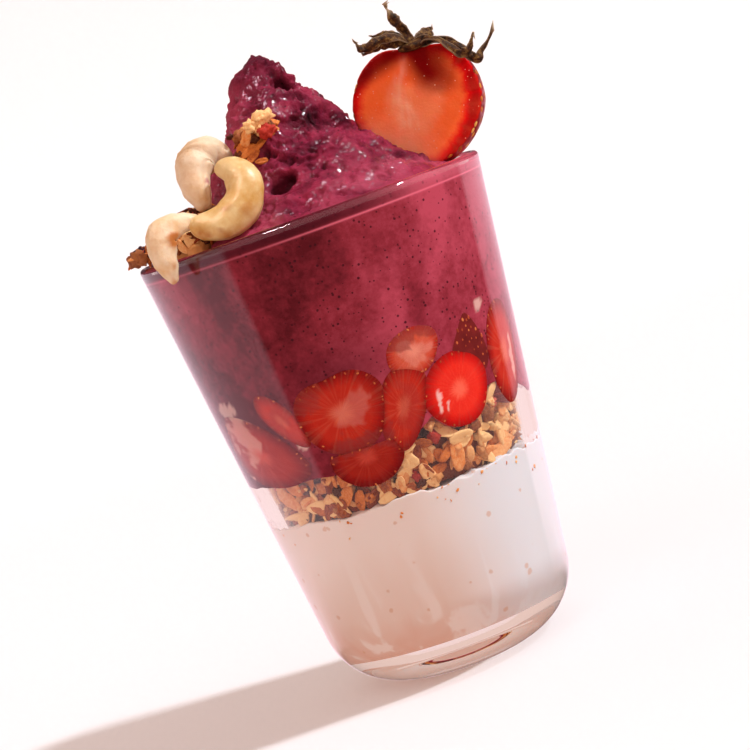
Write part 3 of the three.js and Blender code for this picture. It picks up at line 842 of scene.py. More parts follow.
@dataclass(frozen=True)
class DriedLeaf(Finish):
    """Strawberry sepal, wilted and dried: brown-olive, dull, with pale edges and dark veins."""

    label: str = "strawberry_sepal_dried"
    dark: str = "#1c120a"
    middle: str = "#4e2e14"
    light: str = "#8c6e38"
    bleach: str = "#b9a583"
    vein: float = 1.4 * MM

    def surface(self, tree: Tree) -> Source:
        """Dry brown mottling with a ribbed grain."""
        place = add_node(tree, "TexCoord").outputs["Object"]
        mottling = add_node(tree, "TexNoise", {
            "Vector": place, "Scale": 1 / self.vein, "Detail": 5.0, "Roughness": 0.7,
        }).outputs["Fac"]
        mottled = add_node(tree, "ValToRGB", {"Fac": mottling}, stops=(
            (0.38, self.dark), (0.52, self.middle), (0.68, self.light),
        ))
        colour = layered(tree, mottled, (TONE, self.bleach))
        bump = add_node(tree, "Bump", {"Height": mottling, "Strength": 0.6, "Distance": 0.3 * MM})
        return add_node(tree, "BsdfPrincipled", {
            "Base Color": colour, "Roughness": 0.65, "Normal": bump, "Specular IOR Level": 0.2,
        })


@dataclass(frozen=True)
class PaintedFloor(Finish):
    """A pale painted board: even and matt, so that nothing on it draws the eye."""

    label: str = "painted_board_matt"
    colour: str = "#e8eef0"

    def surface(self, tree: Tree) -> Source:
        """One pale matt colour."""
        return add_node(tree, "BsdfPrincipled", {"Base Color": linear(self.colour), "Roughness": 0.7})


# ---- the tumbler ----


@dataclass
class Tumbler:
    """The clear glass: its wall leans outward from a thick base with round corners."""

    height: float = 117 * MM
    rim_radius: float = 44 * MM
    foot_radius: float = 30 * MM  # where the outer wall's line would meet the floor
    corner_radius: float = 17 * MM
    lip_thickness: float = 2.4 * MM
    low_wall_thickness: float = 4.1 * MM
    low_wall_height: float = 18 * MM
    floor_thickness: float = 8.5 * MM
    inner_corner_radius: float = 13 * MM
    steps: int = 160
    corner_steps: int = 16
    lip_steps: int = 12

    @property
    def outer_slope(self) -> float:
        """How far the outer wall leans out for each metre up."""
        return (self.rim_radius - self.foot_radius) / self.height

    @property
    def inner_slope(self) -> float:
        """How far the inner wall leans out for each metre up."""
        low = self.outer_radius(self.low_wall_height) - self.low_wall_thickness
        return (self.rim_radius - self.lip_thickness - low) / (self.height - self.low_wall_height)

    def outer_radius(self, height: float) -> float:
        """The outer wall's distance from the axis."""
        return self.foot_radius + self.outer_slope * height

    def inner_radius(self, height: float) -> float:
        """The inner wall's distance from the axis."""
        return self.rim_radius - self.lip_thickness - self.inner_slope * (self.height - height)

    def corner(
        self, radius_at: Callable[[float], float], slope: float, floor: float, radius: float
    ) -> Iterator[tuple[float, float]]:
        """The round corner from a floor to a leaning wall, as radius and height from the floor up."""
        lean = math.atan(slope)
        middle_height = floor + radius
        middle_radius = radius_at(middle_height) - radius / math.cos(lean)
        for i in range(self.corner_steps + 1):
            angle = -math.pi / 2 + (i / self.corner_steps) * (math.pi / 2 - lean)
            yield middle_radius + radius * math.cos(angle), middle_height + radius * math.sin(angle)

    def hollow(self, reach: float, top: float) -> list[tuple[float, float]]:
        """The profile of the hollow inside, grown by reach into the wall, from the axis up to a height."""
        return [(0.0, self.floor_thickness - reach)] + list(self.corner(
            lambda height: self.inner_radius(height) + reach,
            self.inner_slope, self.floor_thickness - reach, self.inner_corner_radius + reach,
        )) + [(self.inner_radius(top) + reach, top)]

    def build(self) -> None:
        """Spins the glass from its profile."""
        lip = self.lip_thickness / 2
        lip_height = self.height - lip
        lip_middle = self.outer_radius(lip_height) - lip
        lip_arc = [
            (lip_middle + lip * math.cos(angle), lip_height + lip * math.sin(angle))
            for angle in (math.pi * i / self.lip_steps for i in range(self.lip_steps + 1))
        ]
        outer = self.corner(self.outer_radius, self.outer_slope, 0.0, self.corner_radius)
        inner = self.hollow(0.0, lip_height)[:-1]
        profile = [(0.0, 0.0), *outer, *lip_arc, *reversed(inner)]
        add_piece("tumbler", turned(profile, self.steps), ClearGlass(), "glass", ["glass"])


# ---- yogurt ----


@dataclass
class YogurtLayer:
    """The yogurt in the bottom of the glass, with a wavy top."""

    tumbler: Tumbler
    reach: float = 0.25 * MM  # into the wall
    level: float = 46.6 * MM
    wave: float = 1 * MM
    ripple: float = 1.1 * MM
    upper: float = 5.5 * MM  # how far below its level the layer takes part in the waves
    steps: int = 240
    wall_rings: tuple[float, ...] = (4 * MM, 2.4 * MM, 1.2 * MM, 0.4 * MM, 0.0)  # below its level
    top_rings: tuple[float, ...] = (0.97, 0.93, 0.86, 0.72, 0.5, 0.25, 0.0)  # shares of its radius
    floor_gap: float = 0.05 * MM
    crumbs: int = 60
    crumb_depth: float = 7 * MM  # how far down they lie
    seed: int = 3

    def top_height(self, place: Vector) -> float:
        """The height of the yogurt's top at a place."""
        flat = Vector((place.x, place.y, 0))
        return self.level + self.wave * lumps(flat, 15 * MM, 2.4) + self.ripple * lumps(flat, 2.6 * MM, 1.1)

    def build(self) -> None:
        """Spins the layer and lays its top in waves."""
        profile = self.tumbler.hollow(self.reach, self.level - self.upper)
        profile += [
            (self.tumbler.inner_radius(self.level - below) + self.reach, self.level - below)
            for below in self.wall_rings
        ]
        edge = profile[-1][0]
        inward = [(edge * share, self.level) for share in self.top_rings]
        shape = turned([*profile, *inward], self.steps)
        for vert in shape.verts:
            lift = (self.reach + self.floor_gap) * (1 - ease(vert.co.z, 9.5 * MM, 13 * MM))
            vert.co -= vert.normal * lift
            if vert.co.z > self.level - self.upper:
                share = 1 - (self.level - vert.co.z) / self.upper
                height = vert.co.z + share * (self.top_height(vert.co) - self.level)
                wall = self.tumbler.inner_radius(height) + self.reach
                flat = vert.co.xy.length
                if flat > edge - 0.8 * MM:
                    vert.co.xy *= wall / flat
                vert.co.z = height
        add_piece("yogurt_layer", shape, SetYogurt(), "yogurt", ["yogurt"])
        self.build_crumbs()

    def build_crumbs(self) -> None:
        """Presses a few crumbs of the granola above between the yogurt and the wall."""
        draw = random.Random(self.seed)
        heap = Heap()
        for _ in range(self.crumbs):
            bearing = draw.uniform(-180, 180)
            height = self.level - mix(0.2, self.crumb_depth / MM, draw.random() ** 2.2) * MM
            at = on_wall(bearing, self.tumbler.inner_radius(height), height)
            crumb = Crumb(size=draw.uniform(0.4, 1.1) * MM, around=8, rings=6).build(draw)
            bmesh.ops.scale(crumb, vec=(1, draw.uniform(0.4, 1), 0.3), verts=crumb.verts)
            outward = on_wall(bearing, 1.0, 0.0)
            laid(crumb, at + outward * 0.3 * MM, outward, draw.uniform(0, math.tau))
            heap.add(crumb, 0.6 * draw.random())
        add_piece("yogurt_crumbs", heap.shape, ROLLED_OAT, "granola")


# ---- granola ----


@dataclass
class OatFlake:
    """A rolled oat: a thin oval, dished and split along its crease."""

    length: float = 6.4 * MM
    width: float = 3.3 * MM
    thickness: float = 0.9 * MM
    around: int = 10
    rings: int = 6

    def build(self, draw: random.Random) -> Shape:
        """One flake lying flat at the origin, a little different each time."""
        scale = draw.uniform(0.65, 1.15)
        half_length = self.length * scale / 2
        half_width = self.width * scale * draw.uniform(0.75, 1.15) / 2
        half_thickness = self.thickness * draw.uniform(0.8, 1.5) / 2
        bend = draw.uniform(-0.1, 0.1)
        twist = draw.uniform(-0.25, 0.25)
        seed = draw.uniform(0, 50)

        def shaped(point: Vector) -> Vector:
            """From the unit ball to the flake."""
            ragged = 1 + 0.14 * noise.noise(Vector((point.x * 2 + seed, point.y * 2, 0)))
            x, y = point.x * half_length * ragged, point.y * half_width * ragged
            crease = 0.55 * half_thickness * math.exp(-((point.y / 0.2) ** 2)) * (1 if point.z > 0 else 0)
            dish = bend * half_length * (point.x**2) + 0.1 * half_width * point.y**2
            wave = twist * point.x * y
            return Vector((x, y, point.z * half_thickness - crease + dish + wave))

        return moved(ball(self.around, self.rings), shaped)


@dataclass
class Crumb:
    """A baked lump of granola, or a bit of dried berry: an uneven nugget."""

    size: float = 3.2 * MM
    rough: float = 0.55
    around: int = 10
    rings: int = 8

    def build(self, draw: random.Random) -> Shape:
        """One lump at the origin, a little different each time."""
        half = Vector(draw.uniform(0.65, 1.2) * self.size / 2 for _ in range(3))
        seed = Vector((draw.uniform(0, 90), 0, 0))

        def shaped(point: Vector) -> Vector:
            """From the unit ball to the lump."""
            uneven = 1 + self.rough * noise.noise(point * 1.6 + seed) + 0.4 * noise.noise(point * 3.2 + seed)
            return Vector((point.x * half.x, point.y * half.y, point.z * half.z)) * uneven

        return moved(ball(self.around, self.rings), shaped)


def laid(thing: Shape, at: Vector, facing: Vector, spin: float) -> Shape:
    """Lays a small thing in place.

    Args:
        thing: The thing, flat at the origin.
        at: Where its middle goes.
        facing: What its upper side faces.
        spin: Its turn about that direction, in radians.

    Returns:
        The same thing, in place.
    """
    turn = facing.to_track_quat("Z", "Y").to_matrix().to_4x4()
    place = Matrix.Translation(at) @ turn @ Matrix.Rotation(spin, 4, "Z")
    bmesh.ops.transform(thing, matrix=place, verts=thing.verts)
    return thing


def tilted(facing: Vector, draw: random.Random) -> Vector:
    """A direction that leans a little from another by chance."""
    return (facing + Vector(draw.uniform(-0.6, 0.6) for _ in range(3))).normalized()


DRIFT_RISE = 6.5 * MM
DRIFT_BEARING = 40  # where the granola is piled highest, in degrees
DRIFT_HALF_WIDTH = 31  # degrees


def drift(bearing: float) -> float:
    """How much higher the granola is piled at a bearing in degrees: it drifts up towards the right."""
    away = (bearing - DRIFT_BEARING + 180) % 360 - 180
    return DRIFT_RISE * math.exp(-((away / DRIFT_HALF_WIDTH) ** 4))


@dataclass
class GranolaBand:
    """The band of granola between the yogurt and the smoothie, seen through the wall."""

    tumbler: Tumbler
    low: float = 47.4 * MM
    high: float = 58.8 * MM
    core_inset: float = 2.8 * MM
    behind_wall: float = 1.2 * MM  # where the middles of the outermost things lie
    below: float = 0.9 * MM  # how far under its low edge a thing may reach
    flakes: int = 560
    oat_lumps: int = 60
    crumbs: int = 100
    berry_bits: int = 14
    seed: int = 9

    def inside(self, thing: Shape, gap: float) -> Shape:
        """Moves a thing towards the axis until it stands clear of the wall by a gap."""
        worst = max(
            thing.verts, key=lambda vert: vert.co.xy.length - self.tumbler.inner_radius(vert.co.z)
        ).co
        over = worst.xy.length - self.tumbler.inner_radius(worst.z) + gap
        inward = -worst.xy.normalized() * over
        bmesh.ops.translate(thing, verts=thing.verts, vec=(inward.x, inward.y, 0))
        return thing

    def scatter(
        self, count: int, make: Maker, depth: float, draw: random.Random, tones: tuple[float, float]
    ) -> Heap:
        """Spreads things along the wall.

        Args:
            count: How many.
            make: What makes one.
            depth: How deep behind the wall they may lie.
            draw: The source of chance.
            tones: The lightest and the darkest tone.

        Returns:
            The heap of them.
        """
        heap = Heap()
        for i in range(count):
            angle = math.degrees(i * GOLDEN_ANGLE + draw.uniform(-0.1, 0.1))
            rise = draw.random()
            height = mix(self.low, self.high + drift(angle), rise)
            inset = depth * draw.random() ** 1.5
            radius = self.tumbler.inner_radius(height) - self.behind_wall
            outward = on_wall(angle, 1.0, 0.0)
            leaning = tilted(outward, draw)
            thing = laid(make(draw), on_wall(angle, radius, height), leaning, draw.uniform(0, math.tau))
            low = min(vert.co.z for vert in thing.verts)
            if low < self.low - self.below:
                bmesh.ops.translate(thing, verts=thing.verts, vec=(0, 0, self.low - self.below - low))
            # Painted light and shade: lighter to the right, where the light falls, and darker the deeper
            # behind the wall.
            lit_paleness = 0.55 * ease(math.sin(math.radians(angle)), 0.1, 0.5)
            tone = mix(*tones, ease(draw.random(), 0.15, 0.85)) + 0.3 * inset / depth - lit_paleness
            heap.add(self.inside(thing, inset - 0.05 * MM), min(1.0, max(0.0, tone)))
        return heap

    def build(self) -> None:
        """Lays flakes, lumps and berry bits round a core painted dark as shade."""
        draw = random.Random(self.seed)
        low, high = self.low - 0.6 * MM, self.high - 1.6 * MM
        middle = (low + high) / 2
        ring = self.tumbler.inner_radius(middle) - self.core_inset
        core = turned([
            (0.0, low), (ring * 0.6, low), (ring, low), (ring, middle), (ring, high), (0.0, high),
        ], 72)
        bmesh.ops.subdivide_edges(core, edges=core.edges, cuts=1, use_grid_fill=True)
        moved(core, lambda point: point * (1 + 0.03 * lumps(point, 3 * MM)))
        for vert in core.verts:
            if vert.co.z > middle:
                vert.co.z += drift(bearing_of(vert.co)) * ease(vert.co.xy.length, ring * 0.5, ring * 0.9)
        # The core is painted shade.
        add_piece("granola_band_core", core, GRANOLA_IN_PAINTED_SHADE, "granola", ["granola_layer"])
        long_flake = OatFlake(length=7.2 * MM, width=3.7 * MM)
        rough_lump = Crumb(size=3 * MM, rough=0.8)
        for name, count, thing, depth, tones, finish, slot in (
            ("oats", self.flakes, long_flake, 2.6 * MM, (0.0, 0.85), ROLLED_OAT, "granola"),
            ("oat_lumps", self.oat_lumps, rough_lump, 1.6 * MM, (0.0, 0.7), ROLLED_OAT, "granola"),
            ("lumps", self.crumbs, Crumb(), 2.2 * MM, (0.0, 1.0), BAKED_CLUSTER, "granola"),
            ("berry_bits", self.berry_bits, Crumb(), 0.6 * MM, (0.1, 0.9), DRIED_BERRY, "strawberry"),
        ):
            heap = self.scatter(count, thing.build, depth, draw, tones)
            add_piece(f"granola_band_{name}", heap.shape, finish, slot, ["granola_layer"])


@dataclass
class Cluster:
    """A cluster of granola on top: a baked core with oats, lumps and berry bits stuck on."""

    node: str
    middle: Vector
    half: Vector
    oats: int
    lumps: int
    berry_bits: int
    seed: int
    lump_finish: Toned = BAKED_CLUSTER
    lowest: float = -0.1  # how far down the core's side things lie, 1 being its top and -1 its foot
    core_voxel: float = 0.6 * MM
    core_sunk: float = 0.9 * MM  # how far the core's skin lies inside the CAD solid
    core_rough: float = 0.5 * MM

    def places(self, count: int, draw: random.Random) -> Iterator[tuple[Vector, Vector]]:
        """Places and outward directions spread evenly over the core."""
        start = draw.uniform(0, math.tau)
        for i in range(count):
            rise = mix(1.0, self.lowest, (i + 0.5) / count)
            reach = math.sqrt(1 - rise * rise)
            angle = start + i * GOLDEN_ANGLE
            outward = Vector((reach * math.cos(angle), reach * math.sin(angle), rise))
            facing = Vector(part / size for part, size in zip(outward, self.half))
            yield self.middle + outward * self.half, facing.normalized()

    def scatter(self, count: int, make: Maker, draw: random.Random, sink: float) -> Heap:
        """Sticks things on the core, sunk in by about a distance."""
        heap = Heap()
        for place, facing in self.places(count, draw):
            leaning = tilted(facing, draw)
            thing = laid(make(draw), place - facing * sink, leaning, draw.uniform(0, math.tau))
            heap.add(thing, draw.random())
        return heap

    def build(self) -> None:
        """Builds the core and sticks everything on."""
        draw = random.Random(self.seed)
        core = remeshed(copied(self.node), self.core_voxel, 3)
        for vert in core.verts:
            vert.co -= vert.normal * (self.core_sunk + self.core_rough * lumps(vert.co, 2.5 * MM))
        add_piece(f"{self.node}_core", core, self.lump_finish, "granola", [self.node])
        for name, count, thing, sink, finish, slot in (
            ("oats", self.oats, OatFlake(), 0.2 * MM, ROLLED_OAT, "granola"),
            ("lumps", self.lumps, Crumb(), 0.5 * MM, self.lump_finish, "granola"),
            ("berry_bits", self.berry_bits, Crumb(size=2 * MM), 0.2 * MM, DRIED_BERRY, "strawberry"),
        ):
            if count:
                heap = self.scatter(count, thing.build, draw, sink)
                add_piece(f"{self.node}_{name}", heap.shape, finish, slot, [self.node])


@dataclass
class Bit:
    """One listed thing of the topping: its middle, its sizes, what it faces and its spin in degrees."""

    at: tuple[float, float, float]
    size: tuple[float, float, float]
    facing: tuple[float, float, float]
    spin: float
    tone: float
    craggy: bool = False

    def build(self, draw: random.Random) -> Shape:
        """The bit in place: a flake, or where craggy a lump."""
        lump = Crumb(size=2 * MM, rough=0.8, around=18, rings=14)
        thing = lump.build(draw) if self.craggy else OatFlake(around=16, rings=8).build(draw)
        for axis, wanted in enumerate(self.size):
            reach = max(abs(vert.co[axis]) for vert in thing.verts)
            scale = Vector((1, 1, 1))
            scale[axis] = wanted * MM / 2 / reach
            bmesh.ops.scale(thing, vec=scale, verts=thing.verts)
        return laid(thing, Vector(self.at) * MM, Vector(self.facing).normalized(), math.radians(self.spin))


PEAK_OATS = (
    Bit((-2.8, -17.8, 141.4), (6.4, 4.4, 3.4), (0.1, -0.8, 0.6), 15, 0.16, craggy=True),
    Bit((-6, -18.2, 140.4), (5, 4.2, 3.2), (0.1, -0.8, 0.6), 60, 0.1, craggy=True),
    Bit((-4.4, -18.6, 139), (3.6, 3, 2.6), (0.1, -0.8, 0.6), 60, 0.2, craggy=True),
    Bit((-8, -18.2, 138.2), (4.6, 3, 1.6), (-0.2, -0.9, 0.3), 70, 0.4),
    Bit((-9.6, -17.8, 136), (4.6, 3, 1.6), (-0.4, -0.9, 0.1), 30, 0.55),
    Bit((-6.9, -18.4, 135.4), (8.6, 2.6, 1.4), (0.1, -0.9, 0.45), 24, 0.62),
    Bit((-8.2, -19.6, 133.2), (5.2, 1.9, 1.1), (0.1, -0.9, 0.4), 32, 0.75),
    Bit((-6.4, -20.2, 131.8), (3.4, 1.6, 1), (0.2, -0.9, 0.3), -10, 0.7),
)
PEAK_LUMPS = (
    Bit((-9.4, -17.4, 138.8), (4.4, 3.8, 3.4), (0, -1, 0.2), 20, 0.45, craggy=True),
    Bit((-10.6, -17.2, 134.6), (3.6, 3.2, 3), (0, -1, 0), 80, 0.7, craggy=True),
    Bit((-6.2, -18.6, 137.2), (3, 2.6, 2.6), (0, -1, 0.4), 0, 0.9, craggy=True),
    Bit((-11.6, -15.6, 139.6), (2, 1.8, 1.6), (0, -1, 0.4), 0, 0.95, craggy=True),
)
PEAK_BERRIES = (
    Bit((-2.6, -19.2, 138.2), (5.4, 4.8, 3.6), (0.2, -1, 0.2), 0, 0.55, craggy=True),
)


def add_bits(name: str, bits: Sequence[Bit], finish: Finish, slot: str, seed: int) -> None:
    """Gathers listed bits into one piece."""
    draw = random.Random(seed)
    heap = Heap()
    for bit in bits:
        heap.add(bit.build(draw), bit.tone)
    add_piece(name, heap.shape, finish, slot)


# ---- strawberry slices ----


class Side(Enum):
    """Which side of a slice lies on the wall."""

    CUT = "cut face"
    SKIN = "skin"


@dataclass
class WallSlice:
    """A strawberry slice pressed on the wall. Bearing and turn are in degrees, sizes in metres."""

    bearing: float
    height: float
    width: float
    length: float
    turn: float
    taper: float
    cut: float = 2.0
    notch: float = 0.0
    side: Side = Side.CUT
    finish: Finish = RIPE_FLESH
    seeds_shown: float = 0.5
    thickness: float = 4.4 * MM
    seed_spacing: float = 2.6 * MM
    skin_seeds: int = 34
    skin_seed_scale: float = 1.5  # how much larger a seed looks on the skin than on a cut edge
    seed_half: tuple[float, float, float] = (0.4 * MM, 0.26 * MM, 0.12 * MM)
    around: int = 72
    rings: int = 36

    def place(self, tumbler: Tumbler, around: float, reach: float, inward: float) -> Vector:
        """A place in the slice.

        Args:
            tumbler: The glass that it lies against.
            around: The angle round the slice from its tip, in radians.
            reach: How far from its middle to its edge, from 0 to 1.
            inward: How far from the wall towards the axis.

        Returns:
            The place.
        """
        outline = Vector((math.cos(around) + self.bearing, math.sin(around), 0)) / 0.9
        uneven = 1 + 0.05 * noise.noise(outline)
        dip = self.notch * max(0.0, -math.cos(around)) ** 12
        across = reach * self.width * math.sin(around) * (1 - self.taper * math.cos(around)) * uneven
        along = max(reach * self.length * math.cos(around) * uneven * (1 - dip), -self.cut * self.length)
        tip = math.radians(self.turn)
        right = along * math.cos(tip) + across * math.sin(tip)
        up = along * math.sin(tip) - across * math.cos(tip)
        height = self.height + up
        bearing = self.bearing + math.degrees(right / tumbler.inner_radius(self.height))
        return on_wall(bearing, tumbler.inner_radius(height) - inward, height)

    def build(self, tumbler: Tumbler, number: int, touch: float) -> None:
        """Builds the slice as a flattened ball bent along the wall.

        Args:
            tumbler: The glass that it lies against.
            number: Its number among the slices.
            touch: How far it reaches into the wall.
        """
        shape = ball(self.around, self.rings)
        berry = shape.verts.layers.float_vector.new(BERRY)
        film = shape.verts.layers.float.new(FILM)
        haze = shape.verts.layers.float.new(HAZE)
        for vert in shape.verts:
            girth = min(1.0, vert.co.xy.length)
            around = math.atan2(vert.co.x, vert.co.y)
            reach = girth**0.55
            flat = math.copysign(abs(vert.co.z) ** 0.04, vert.co.z)
            half = self.thickness / 2
            vert[berry] = (reach * math.sin(around), reach * math.cos(around), reach)
            vert.co = self.place(tumbler, around, reach, half - flat * half - touch)
            vert[film] = strongest(CREAM_SMEARS_AND_GLINTS, vert.co)
            vert[haze] = strongest(JUICE_SMEARS, vert.co)
        bmesh.ops.remove_doubles(shape, verts=shape.verts, dist=0.001 * MM)
        bmesh.ops.recalc_face_normals(shape, faces=shape.faces)
        name = f"strawberry_slice_{number:02d}"
        add_piece(f"{name}_flesh", shape, self.finish, "strawberry", [name])

    def seed_spots(self, draw: random.Random) -> Iterator[tuple[float, float]]:
        """Where seeds show, as angles and reaches: over the skin, or dotted along a cut edge."""
        if self.side is Side.SKIN:
            for i in range(self.skin_seeds):
                yield i * GOLDEN_ANGLE, math.sqrt((i + 0.5) / self.skin_seeds)
            return
        count = round(math.pi * (self.width + self.length) / self.seed_spacing)
        for i in range(count):
            if draw.random() < self.seeds_shown:
                yield math.tau * (i + draw.uniform(-0.2, 0.2)) / count, draw.uniform(0.9, 0.96)

    def seeds(self, tumbler: Tumbler, touch: float, heap: Heap, draw: random.Random) -> None:
        """Adds the seeds that show to a heap."""
        for around, reach in self.seed_spots(draw):
            at = self.place(tumbler, around, reach, 0.12 * MM - touch)
            outward = Vector((at.x, at.y, 0)).normalized()
            seed = ball(8, 6)
            size = self.skin_seed_scale if self.side is Side.SKIN else 1.0
            length, width, height = self.seed_half
            bmesh.ops.scale(seed, vec=(length * size, width * size, height), verts=seed.verts)
            spin = math.pi / 2 if self.side is Side.SKIN else draw.uniform(0, math.tau)
            heap.add(laid(seed, at, outward, spin), draw.random())


@dataclass
class Smear:
    """A smear of cream or juice between a slice and the wall, or a painted highlight: an oval with a ragged
    edge.
    """

    bearing: float
    height: float
    half_width: float
    half_height: float
    turn: float = 0.0
    strength: float = 0.75

    def strength_at(self, place: Vector) -> float:
        """How much of the smear lies at a place, from 0 to 1."""
        away = bearing_of(place) - self.bearing
        right = math.radians(away) * place.xy.length
        up = place.z - self.height
        tilt = math.radians(self.turn)
        across = (right * math.cos(tilt) + up * math.sin(tilt)) / self.half_width
        along = (up * math.cos(tilt) - right * math.sin(tilt)) / self.half_height
        ragged = 0.7 * lumps(place, 4 * MM, 3.1) + 0.45 * lumps(place, 1.5 * MM, 0.7)
        return self.strength * ease(1 + ragged - math.hypot(across, along), 0.0, 0.3)


def strongest(smears: Sequence[Smear], place: Vector) -> float:
    """How much of the thickest of the smears lies at a place, from 0 to 1."""
    return max(smear.strength_at(place) for smear in smears)


FRONT_SLICES = (
    WallSlice(-13.8, 71.1 * MM, 10.9 * MM, 10.3 * MM, -84, 0.1, notch=0.13),
    WallSlice(32, 66.4 * MM, 9.1 * MM, 8.9 * MM, -72, 0.12, finish=BRIGHT_FLESH),
    WallSlice(-56, 66 * MM, 8.6 * MM, 14.6 * MM, -24, 0.34, cut=0.85, finish=DEEP_FLESH),
    WallSlice(-10.8, 59.4 * MM, 8.7 * MM, 7.3 * MM, -90, 0.05, cut=0.3, finish=DEEP_FLESH),
    WallSlice(8.4, 67.4 * MM, 5.6 * MM, 10.6 * MM, -114, 0.15),
    WallSlice(62, 70 * MM, 7 * MM, 12.4 * MM, -97, 0.1),
    WallSlice(18.4, 79 * MM, 5.6 * MM, 6.8 * MM, 20, 0.1, finish=PALE_FLESH),
    WallSlice(42, 75.2 * MM, 5.2 * MM, 7.6 * MM, 84, 0.6, side=Side.SKIN, finish=PRESSED_SKIN),
    WallSlice(-37.6, 73.2 * MM, 3.7 * MM, 8.6 * MM, -58, 0.18),
)
BACK_SLICES = (
    WallSlice(94, 70 * MM, 7.6 * MM, 9.4 * MM, -110, 0.2),
    WallSlice(132, 70 * MM, 8 * MM, 9.8 * MM, -60, 0.15),
    WallSlice(170, 71 * MM, 8.4 * MM, 9.2 * MM, -100, 0.1),
    WallSlice(208, 68 * MM, 8 * MM, 9 * MM, -75, 0.25),
    WallSlice(246, 67 * MM, 7.4 * MM, 9.6 * MM, -95, 0.1),
)
CREAM_SMEARS_AND_GLINTS = (
    Smear(-62, 71 * MM, 5.4 * MM, 7.5 * MM, turn=35, strength=0.6),
    Smear(-72, 58 * MM, 2 * MM, 3 * MM, strength=0.9),
    Smear(-8.5, 70.5 * MM, 3.2 * MM, 5.4 * MM, turn=-12, strength=0.25),
    Smear(19, 78.5 * MM, 4 * MM, 3.4 * MM, strength=0.25),
    # Painted highlights: thin pale strips where the slices catch the light.
    Smear(67, 68 * MM, 0.9 * MM, 5.5 * MM, turn=-8, strength=0.85),
    Smear(22.5, 65.5 * MM, 0.5 * MM, 2.4 * MM, turn=-10, strength=0.8),
    Smear(25.5, 64.5 * MM, 0.35 * MM, 1.8 * MM, turn=-10, strength=0.7),
)
JUICE_SMEARS = (
    Smear(-11, 62.6 * MM, 8 * MM, 3.2 * MM, strength=0.5),
    Smear(-25, 77 * MM, 5 * MM, 4 * MM, strength=0.45),
    Smear(10, 66 * MM, 3 * MM, 9 * MM, strength=0.25),
    Smear(-38, 75 * MM, 3.5 * MM, 7 * MM, strength=0.3),
    Smear(17, 83 * MM, 7 * MM, 2.6 * MM, strength=0.6),
)
WALL_SMEARS = (
    Smear(-66, 79 * MM, 5 * MM, 2.6 * MM, turn=20, strength=0.6),
    Smear(-33, 66.5 * MM, 1.8 * MM, 1.5 * MM, strength=0.8),
    Smear(52, 83.4 * MM, 2 * MM, 1.6 * MM, strength=0.7),
)


@dataclass
class SliceRing:
    """The ring of strawberry slices pressed on the wall between granola and smoothie."""

    tumbler: Tumbler
    touch: float = 0.42 * MM  # how far the foremost slice reaches into the wall
    step: float = 0.011 * MM  # how much less each next slice does, so that the foremost ones show
    seed: int = 12

    def build(self) -> None:
        """Builds each slice and the seeds along their edges."""
        draw = random.Random(self.seed)
        seeds = Heap()
        for i, piece in enumerate([*FRONT_SLICES, *BACK_SLICES]):
            touch = self.touch - i * self.step
            piece.build(self.tumbler, i + 1, touch)
            piece.seeds(self.tumbler, touch, seeds, draw)
        add_piece("slice_seeds", seeds.shape, STAINED_SEED, "strawberry")


# ---- smoothie ----


@dataclass
class Spot:
    """A round spot of a surface: its middle, its reach, and its strength or its depth in millimetres."""

    at: Vector
    reach: float
    amount: float

    def away(self, place: Vector) -> float:
        """How far a place lies from the middle, the reach being 1."""
        return (place - self.at).length / self.reach


def spots(*rows: tuple[float, float, float, float, float]) -> tuple[Spot, ...]:
    """Spots from rows of a place and a reach, both in millimetres, and an amount."""
    return tuple(Spot(Vector(row[:3]) * MM, row[3] * MM, row[4]) for row in rows)


